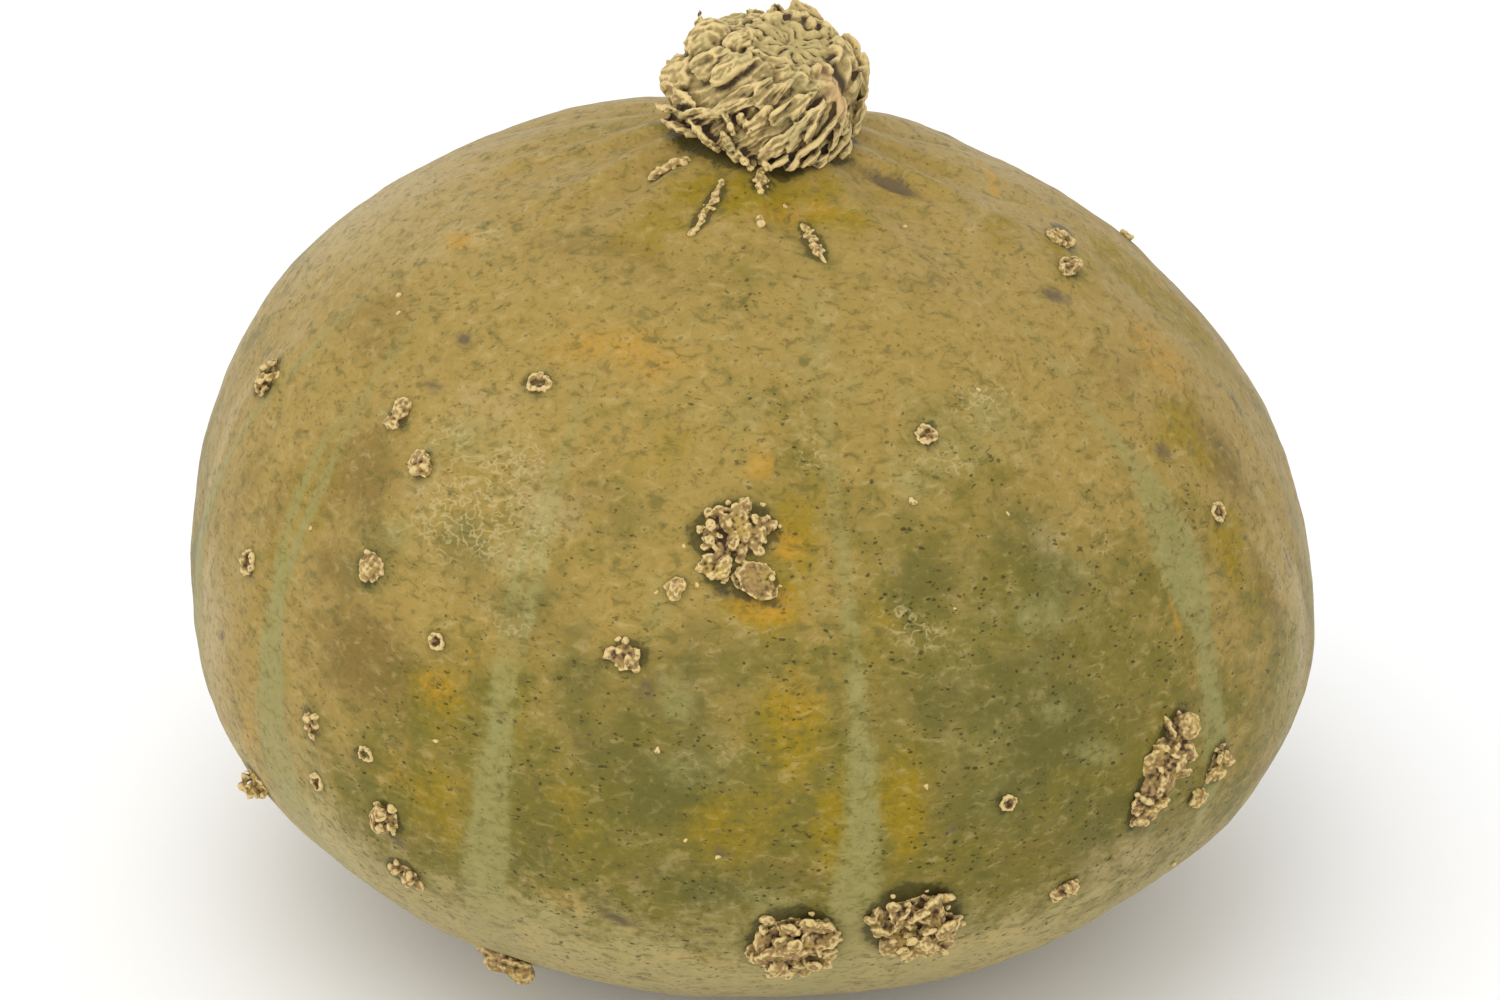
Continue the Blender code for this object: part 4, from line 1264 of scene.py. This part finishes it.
def stem_reach(ways, latitude):
    """How far the stem reaches from its heart in each direction, before its folds."""
    across = np.cos(latitude) / (STEM_HALF_WIDTH * (1 - STEM_TAPER * ways[:, 2]))
    along = np.abs(ways[:, 2]) / STEM_HALF_HEIGHT
    reach = (across**STEM_SQUARENESS + along**STEM_SQUARENESS) ** (-1 / STEM_SQUARENESS)
    for knob_longitude, knob_latitude, spread, height in KNOBS:
        knob = np.array(direction(math.radians(knob_latitude), math.radians(knob_longitude)))
        turn = np.arccos(np.clip(ways @ knob, -1, 1))
        reach = reach + height / 1000 * bell(turn, math.radians(spread))
    facing = ways @ np.array(CUT_NORMAL)
    cut = CUT_DISTANCE / np.maximum(facing, EDGE_ON)
    blunt = -CUT_SOFTNESS * np.log(np.exp(-reach / CUT_SOFTNESS) + np.exp(-cut / CUT_SOFTNESS))
    return np.where(facing > EDGE_ON, blunt, reach)


# The stem's folds: (longitude, latitude, length, width, thickness, turn, lift), in degrees and millimetres. A turn
# of 0 lays a fold along the parallel, and its lift swings its lower side out.
FOLDS = (
    (-74, 4, 8, 7, 5, 20, 0),
    (-78, 30, 8, 7.5, 6.5, 30, 0),
    (-44, 44, 6, 4, 3, 60, 0),
    (-31, 21, 7.5, 4.2, 3.4, 55, 10),
    (-46, 20, 6, 3, 2.6, 50, 10),
    (-16, 8, 8.5, 2.4, 2.2, 32, 20),
    (-22, -1, 8, 2.2, 2.2, 28, 20),
    (-58, -5, 7, 2.3, 2.2, -12, 0),
    (-62, -13, 6, 2.0, 2.0, 8, 15),
    (-60, -22, 8, 2.7, 2.6, 0, 10),
    (-42, -10, 6, 2.4, 2.4, 25, 20),
    (-38, -20, 6, 2.6, 2.4, -35, 15),
    (-22, -8, 3.8, 2.6, 1.6, -50, 35),
    (-14, -6, 3.2, 2.4, 1.5, -35, 35),
    (-5, -4, 5, 2.2, 1.8, 60, 15),
    (-20, -20, 5, 2.6, 2.2, -55, 15),
    (-10, -27, 4.6, 2.8, 2.4, -60, 20),
    (0, -29, 4.8, 2.6, 2.4, -80, 20),
    (7, -27, 4.4, 2.6, 2.4, 65, 20),
    (15, -27, 4.8, 2.4, 2.2, 75, 20),
    (23, -27, 5, 2.6, 2.2, 55, 20),
    (32, -27, 5, 2.4, 2.2, 30, 25),
    (42, -26, 4.6, 2.6, 2.4, 60, 20),
    (3, -16, 5, 2.4, 2.0, 50, 15),
    (10, -12, 6, 2.2, 2.0, 52, 15),
    (17, -8, 7, 2.2, 2.0, 55, 15),
    (25, -4, 7, 2.0, 2.0, 58, 15),
    (32, -12, 5.5, 2.2, 2.0, 40, 20),
    (22, -18, 4.6, 2.2, 2.0, 30, 20),
    (40, -16, 5, 2.4, 2.0, 70, 15),
    (9, 2, 6.5, 2.3, 2.0, 35, 15),
    (0, 10, 6, 2.4, 2.0, 30, 15),
    (19, 4, 6, 2.0, 1.8, 30, 15),
    (1, 25, 6, 3, 1.8, -20, 0),
    (-15, 26, 5, 2, 1.6, -25, 0),
    (15, 17, 6.5, 2, 1.7, -30, 5),
    (32, 10, 5.5, 2, 1.7, -38, 5),
    (46, -6, 6, 3.2, 2.4, 90, 0),
    (52, -20, 5, 3, 2.6, 80, 10),
    (78, -4, 6, 3, 2.6, 75, 0),
    (80, -20, 6, 3, 2.8, 30, 0),
    (-40, 60, 3, 1.6, 1.5, 60, 0),
    (-50, 52, 2.6, 1.6, 1.6, 20, 0),
    (-34, 52, 3, 1.4, 1.4, 80, 0),
    (-30, 43, 2.6, 1.4, 1.4, 70, 0),
    (-26, 34, 2.6, 1.3, 1.3, 60, 0),
)
BACK_FOLDS = 30
RIM_LOBES = 22
HORN = (76, 13, 3.6, 1.5, 1.3)
CRACK = (60, 2, 7, 26)


def stem_foot(longitude, latitude):
    """A place on the bare stem, measured from its heart, and its axes there."""
    step = 0.04

    def reached(latitude, longitude):
        way = np.array([direction(latitude, longitude)])
        return Vector((way * stem_reach(way, np.array([latitude]))[:, None])[0])

    east = (reached(latitude, longitude + step) - reached(latitude, longitude - step)).normalized()
    north = (reached(latitude + step, longitude) - reached(latitude - step, longitude)).normalized()
    out = east.cross(north).normalized()
    return reached(latitude, longitude), Matrix((east, out.cross(east), out)).transposed()


def stem_folds(lumps, heart):
    """Lays the crumpled folds over the bare stem like slates, each with its lower side lifted."""
    draw = lumps.draw
    rows = list(FOLDS)
    while len(rows) < len(FOLDS) + BACK_FOLDS:
        place = (draw.uniform(95, 270), draw.uniform(-30, 22))
        sizes = (draw.uniform(4, 8), draw.uniform(2, 3.2), draw.uniform(1.6, 2.2))
        rows.append((*place, *sizes, draw.uniform(20, 70), draw.uniform(0, 12)))
    for longitude, latitude, length, width, thickness, turn, lift in rows:
        foot, axes = stem_foot(math.radians(longitude), math.radians(latitude))
        round_lobe = width > 3.9
        axes = axes @ Matrix.Rotation(math.radians(turn), 3, "Z") @ Matrix.Rotation(math.radians(lift + 20), 3, "X")
        sunk = heart + foot - axes.col[2] * thickness * (0.00012 if round_lobe else 0.00002)
        if round_lobe:
            lumps.add("bed", sunk, axes, (length / 2000, width / 2000, thickness / 2000), (0.96, 1.04), -0.15)
            continue
        size = (length / 1750, width / 1250, thickness / 4200)
        lumps.add("bed", sunk, axes, size, (0.9, 1.07), -0.12)
        for side in (-1, 1):
            shift = axes @ Vector((side * length * draw.uniform(0.0001, 0.0003), width * draw.uniform(-0.0001, 0.0005), 0.0003))
            tipped = axes @ Matrix.Rotation(draw.uniform(-0.45, 0.45), 3, "Z") @ Matrix.Rotation(draw.uniform(-0.1, 0.6), 3, "X")
            lumps.add("bed", sunk + shift, tipped, (size[0] * 0.6, size[1] * 0.55, size[2] * 0.8), (0.86, 1.1), -0.2)
    tilt = Vector((0, 0, 1)).rotation_difference(CUT_NORMAL)
    for number in range(RIM_LOBES):
        angle, off = math.tau * (number + draw.uniform(-0.3, 0.3)) / RIM_LOBES, math.radians(draw.uniform(38, 47))
        way = tilt @ Vector((math.sin(off) * math.cos(angle), math.sin(off) * math.sin(angle), math.cos(off)))
        foot, axes = stem_foot(math.atan2(way.x, -way.y), math.asin(way.z))
        size = (draw.uniform(0.001, 0.0019), draw.uniform(0.0007, 0.0011), draw.uniform(0.0006, 0.0010))
        axes = axes @ Matrix.Rotation(draw.uniform(0, math.pi), 3, "Z") @ Matrix.Rotation(draw.uniform(-0.5, 0.5), 3, "X")
        lumps.add("bed", heart + foot, axes, size, (0.82, 1.12))
    longitude, latitude, length, width, thickness = HORN
    foot, axes = stem_foot(math.radians(longitude), math.radians(latitude))
    tip = axes @ Matrix.Rotation(math.radians(-20), 3, "Y")
    lumps.add("grain", heart + foot + axes.col[2] * 0.0004, tip, (width / 2000, thickness / 2000, length / 2000), (0.85, 1.1))


class KABOCHA_OT_stem(bpy.types.Operator):
    """Grow the crumpled corky stem"""

    bl_idname = "kabocha.stem"
    bl_label = "Stem"

    def execute(self, context):
        look = context.scene.kabocha_stem
        lumps = Lumps(17)
        bpy.ops.mesh.primitive_uv_sphere_add(segments=160, ring_count=90, radius=1)
        core = context.object
        ball = corners_of(core.data)
        latitude = np.arcsin(np.clip(ball[:, 2], -1, 1))
        ways = ball / np.linalg.norm(ball, axis=1)[:, None]
        facing = np.clip(ways @ np.array(CUT_NORMAL), 0, 1)
        flat = np.clip((facing - 0.6) / 0.25, 0, 1)
        points = ways * (stem_reach(ways, latitude) - 0.0007 * (1 - flat))[:, None]
        points[:, 2] += SEAT_HEIGHT + HEART_HEIGHT
        set_corners(core.data, points)
        lumps.made.append(core)
        stem_folds(lumps, Vector((0, 0, SEAT_HEIGHT + HEART_HEIGHT)))
        stem = lumps.melt("stem_cork", look.grain)
        mesh = stem.data
        upright, normals = corners_of(mesh), normals_of(mesh)
        ways = upright - np.array((0, 0, SEAT_HEIGHT + HEART_HEIGHT))
        ways /= np.linalg.norm(ways, axis=1)[:, None]
        facing = np.clip(ways @ np.array(CUT_NORMAL), 0, 1)
        cut = np.clip((facing - 0.74) / 0.16, 0, 1)
        fine = np.empty(len(upright))
        for number, point in enumerate(upright.tolist()):
            spot = Vector(point)
            wound = Matrix.Rotation(-70 * spot.z, 3, "Z") @ spot
            wound += 0.0009 * noise.noise_vector(spot / 0.003)
            broad = Vector((wound.x / 0.0023, wound.y / 0.0023, wound.z / 0.006))
            slim = Vector((wound.x / 0.0009, wound.y / 0.0009, wound.z / 0.003))
            creased = 1 - 2.8 * abs(noise.noise(broad))
            fibrous = 1 - 2.8 * abs(noise.noise(slim))
            rough = 0.5 + 0.9 * noise.noise(spot / 0.005)
            fine[number] = 0.55 * creased + 0.4 * rough * fibrous + 0.15 * noise.noise(spot / 0.0006)
        across = ((np.degrees(np.arctan2(ways[:, 0], -ways[:, 1])) - CRACK[0] + 180) % 360 - 180) / CRACK[2]
        along = (np.degrees(np.arcsin(ways[:, 2])) - CRACK[1]) / CRACK[3]
        crack = np.exp(-(across**2) - along**4)
        east = CUT_NORMAL.orthogonal().normalized()
        north = CUT_NORMAL.cross(east)
        spin = np.arctan2(ways @ np.array(north), ways @ np.array(east))
        off = np.sqrt(1 - facing**2)
        petals = np.stack((np.cos(spin), np.sin(spin), off * 1.5), 1)
        ribs = (1.7 * np.abs(noise_at(petals, 0.42)) - 0.4) * np.clip(off / 0.4, 0, 1)
        hollow = ribs + 0.5 * noise_at(upright, 0.0034) + 0.35 * noise_at(upright, 0.0013) - 1.1 * bell(off, 0.3)
        shift = look.fold_depth * ((fine - 0.4) * (1 - 0.5 * cut) + 1.6 * cut * hollow)
        points = upright + normals * shift[:, None] - ways * (0.0013 * crack)[:, None]
        radius = np.hypot(points[:, 0], points[:, 1])
        ragged = SKIRT_LEVEL + noise_at(points, 0.0036)
        skirt = SKIRT_GAP * ragged * (radius / STEM_HALF_WIDTH) ** 2
        points[:, 2] = np.maximum(points[:, 2], neck_under(radius) + SEAT_GAP + skirt)
        set_corners(mesh, lean(points))
        store_crests(mesh)
        store(mesh, "cut", cut)
        store(mesh, "crack", crack)
        band = np.exp(-(((across * CRACK[2] + 17) / 9) ** 2) - ((along * CRACK[3] - 6) / 14) ** 2)
        store(mesh, "peach", band)
        finish_piece(stem, stem_finish(look), "cork", "stem")
        return {"FINISHED"}


class KABOCHA_OT_stage(bpy.types.Operator):
    """Lay the floor, hang the lights and set up the camera"""

    bl_idname = "kabocha.stage"
    bl_label = "Stage"

    def execute(self, context):
        look = context.scene.kabocha_stage
        deselect_all()
        bpy.ops.mesh.primitive_plane_add(size=look.reach)
        floor = context.object
        floor.name = floor.data.name = "floor"
        make = Finish("pale studio floor")
        tone = make.cloud(0.4, 2)
        floor.data.materials.append(make.close(look.floor, make.step(tone, 0, 1, 0.85, 0.95), make.bump(tone, 0.0001, 0.1)))
        middle = Vector(MIDDLE) + Vector((0.0015, 0.0051, 0.0104))
        for name, place, size, share in (
            ("top light", (-0.2, -0.3, 1.1), 0.9, 0.95),
            ("front light", (0.2, -1.25, 0.06), 1.0, 1.85),
            ("side light", (-1.15, -0.1, 0.16), 0.8, 0.85),
            ("back light", (0.2, 1.1, 0.8), 0.9, 0.35),
        ):
            lamp = bpy.data.lights.new(name, "AREA")
            lamp.size = size
            lamp.energy = look.soft_light * share
            holder = bpy.data.objects.new(name, lamp)
            context.scene.collection.objects.link(holder)
            holder.location = place
            holder.rotation_euler = (middle - Vector(place)).to_track_quat("-Z", "Y").to_euler()
        world = bpy.data.worlds.new("white surround")
        world.use_nodes = True
        world.node_tree.nodes["Background"].inputs["Color"].default_value = (1, 1, 1, 1)
        world.node_tree.nodes["Background"].inputs["Strength"].default_value = look.sky
        context.scene.world = world
        camera = bpy.data.objects.new("camera", bpy.data.cameras.new("camera"))
        context.scene.collection.objects.link(camera)
        camera.data.lens = look.lens
        camera.data.sensor_width = 36
        rise = look.elevation
        away = Vector((0, -math.cos(rise), math.sin(rise))) * look.distance
        camera.location = Vector(MIDDLE) + away
        aim = Vector((-0.0001, 0.005, 0.0625))
        camera.rotation_euler = (aim - camera.location).to_track_quat("-Z", "Y").to_euler()
        context.scene.camera = camera
        context.scene.view_settings.view_transform = "Standard"
        return {"FINISHED"}


class KABOCHA_PT_panel(bpy.types.Panel):
    """Sizes, colours and steps of the squash"""

    bl_label = "Kabocha Squash"
    bl_idname = "KABOCHA_PT_panel"
    bl_space_type = "VIEW_3D"
    bl_region_type = "UI"
    bl_category = "Squash"

    def draw(self, context):
        for step, settings in (
            ("kabocha.skin", "kabocha_skin"),
            ("kabocha.growths", "kabocha_cork"),
            ("kabocha.crumbs", None),
            ("kabocha.stem", "kabocha_stem"),
            ("kabocha.stage", "kabocha_stage"),
        ):
            box = self.layout.box()
            box.operator(step)
            if settings:
                group = getattr(context.scene, settings)
                for name in group.bl_rna.properties.keys():
                    if name not in ("rna_type", "name"):
                        box.prop(group, name)


SETTINGS = {
    "kabocha_skin": SkinSettings,
    "kabocha_cork": CorkSettings,
    "kabocha_stem": StemSettings,
    "kabocha_stage": StageSettings,
}
OPERATORS = (KABOCHA_OT_skin, KABOCHA_OT_growths, KABOCHA_OT_crumbs, KABOCHA_OT_stem, KABOCHA_OT_stage)


def register():
    for name, group in SETTINGS.items():
        bpy.utils.register_class(group)
        setattr(bpy.types.Scene, name, bpy.props.PointerProperty(type=group))
    for kind in (*OPERATORS, KABOCHA_PT_panel):
        bpy.utils.register_class(kind)


def unregister():
    for kind in reversed((*OPERATORS, KABOCHA_PT_panel)):
        bpy.utils.unregister_class(kind)
    for name, group in reversed(SETTINGS.items()):
        delattr(bpy.types.Scene, name)
        bpy.utils.unregister_class(group)


def main():
    register()
    bpy.ops.kabocha.stage()
    bpy.ops.kabocha.skin()
    bpy.ops.kabocha.growths()
    bpy.ops.kabocha.crumbs()
    bpy.ops.kabocha.stem()


if __name__ == "__main__":
    main()
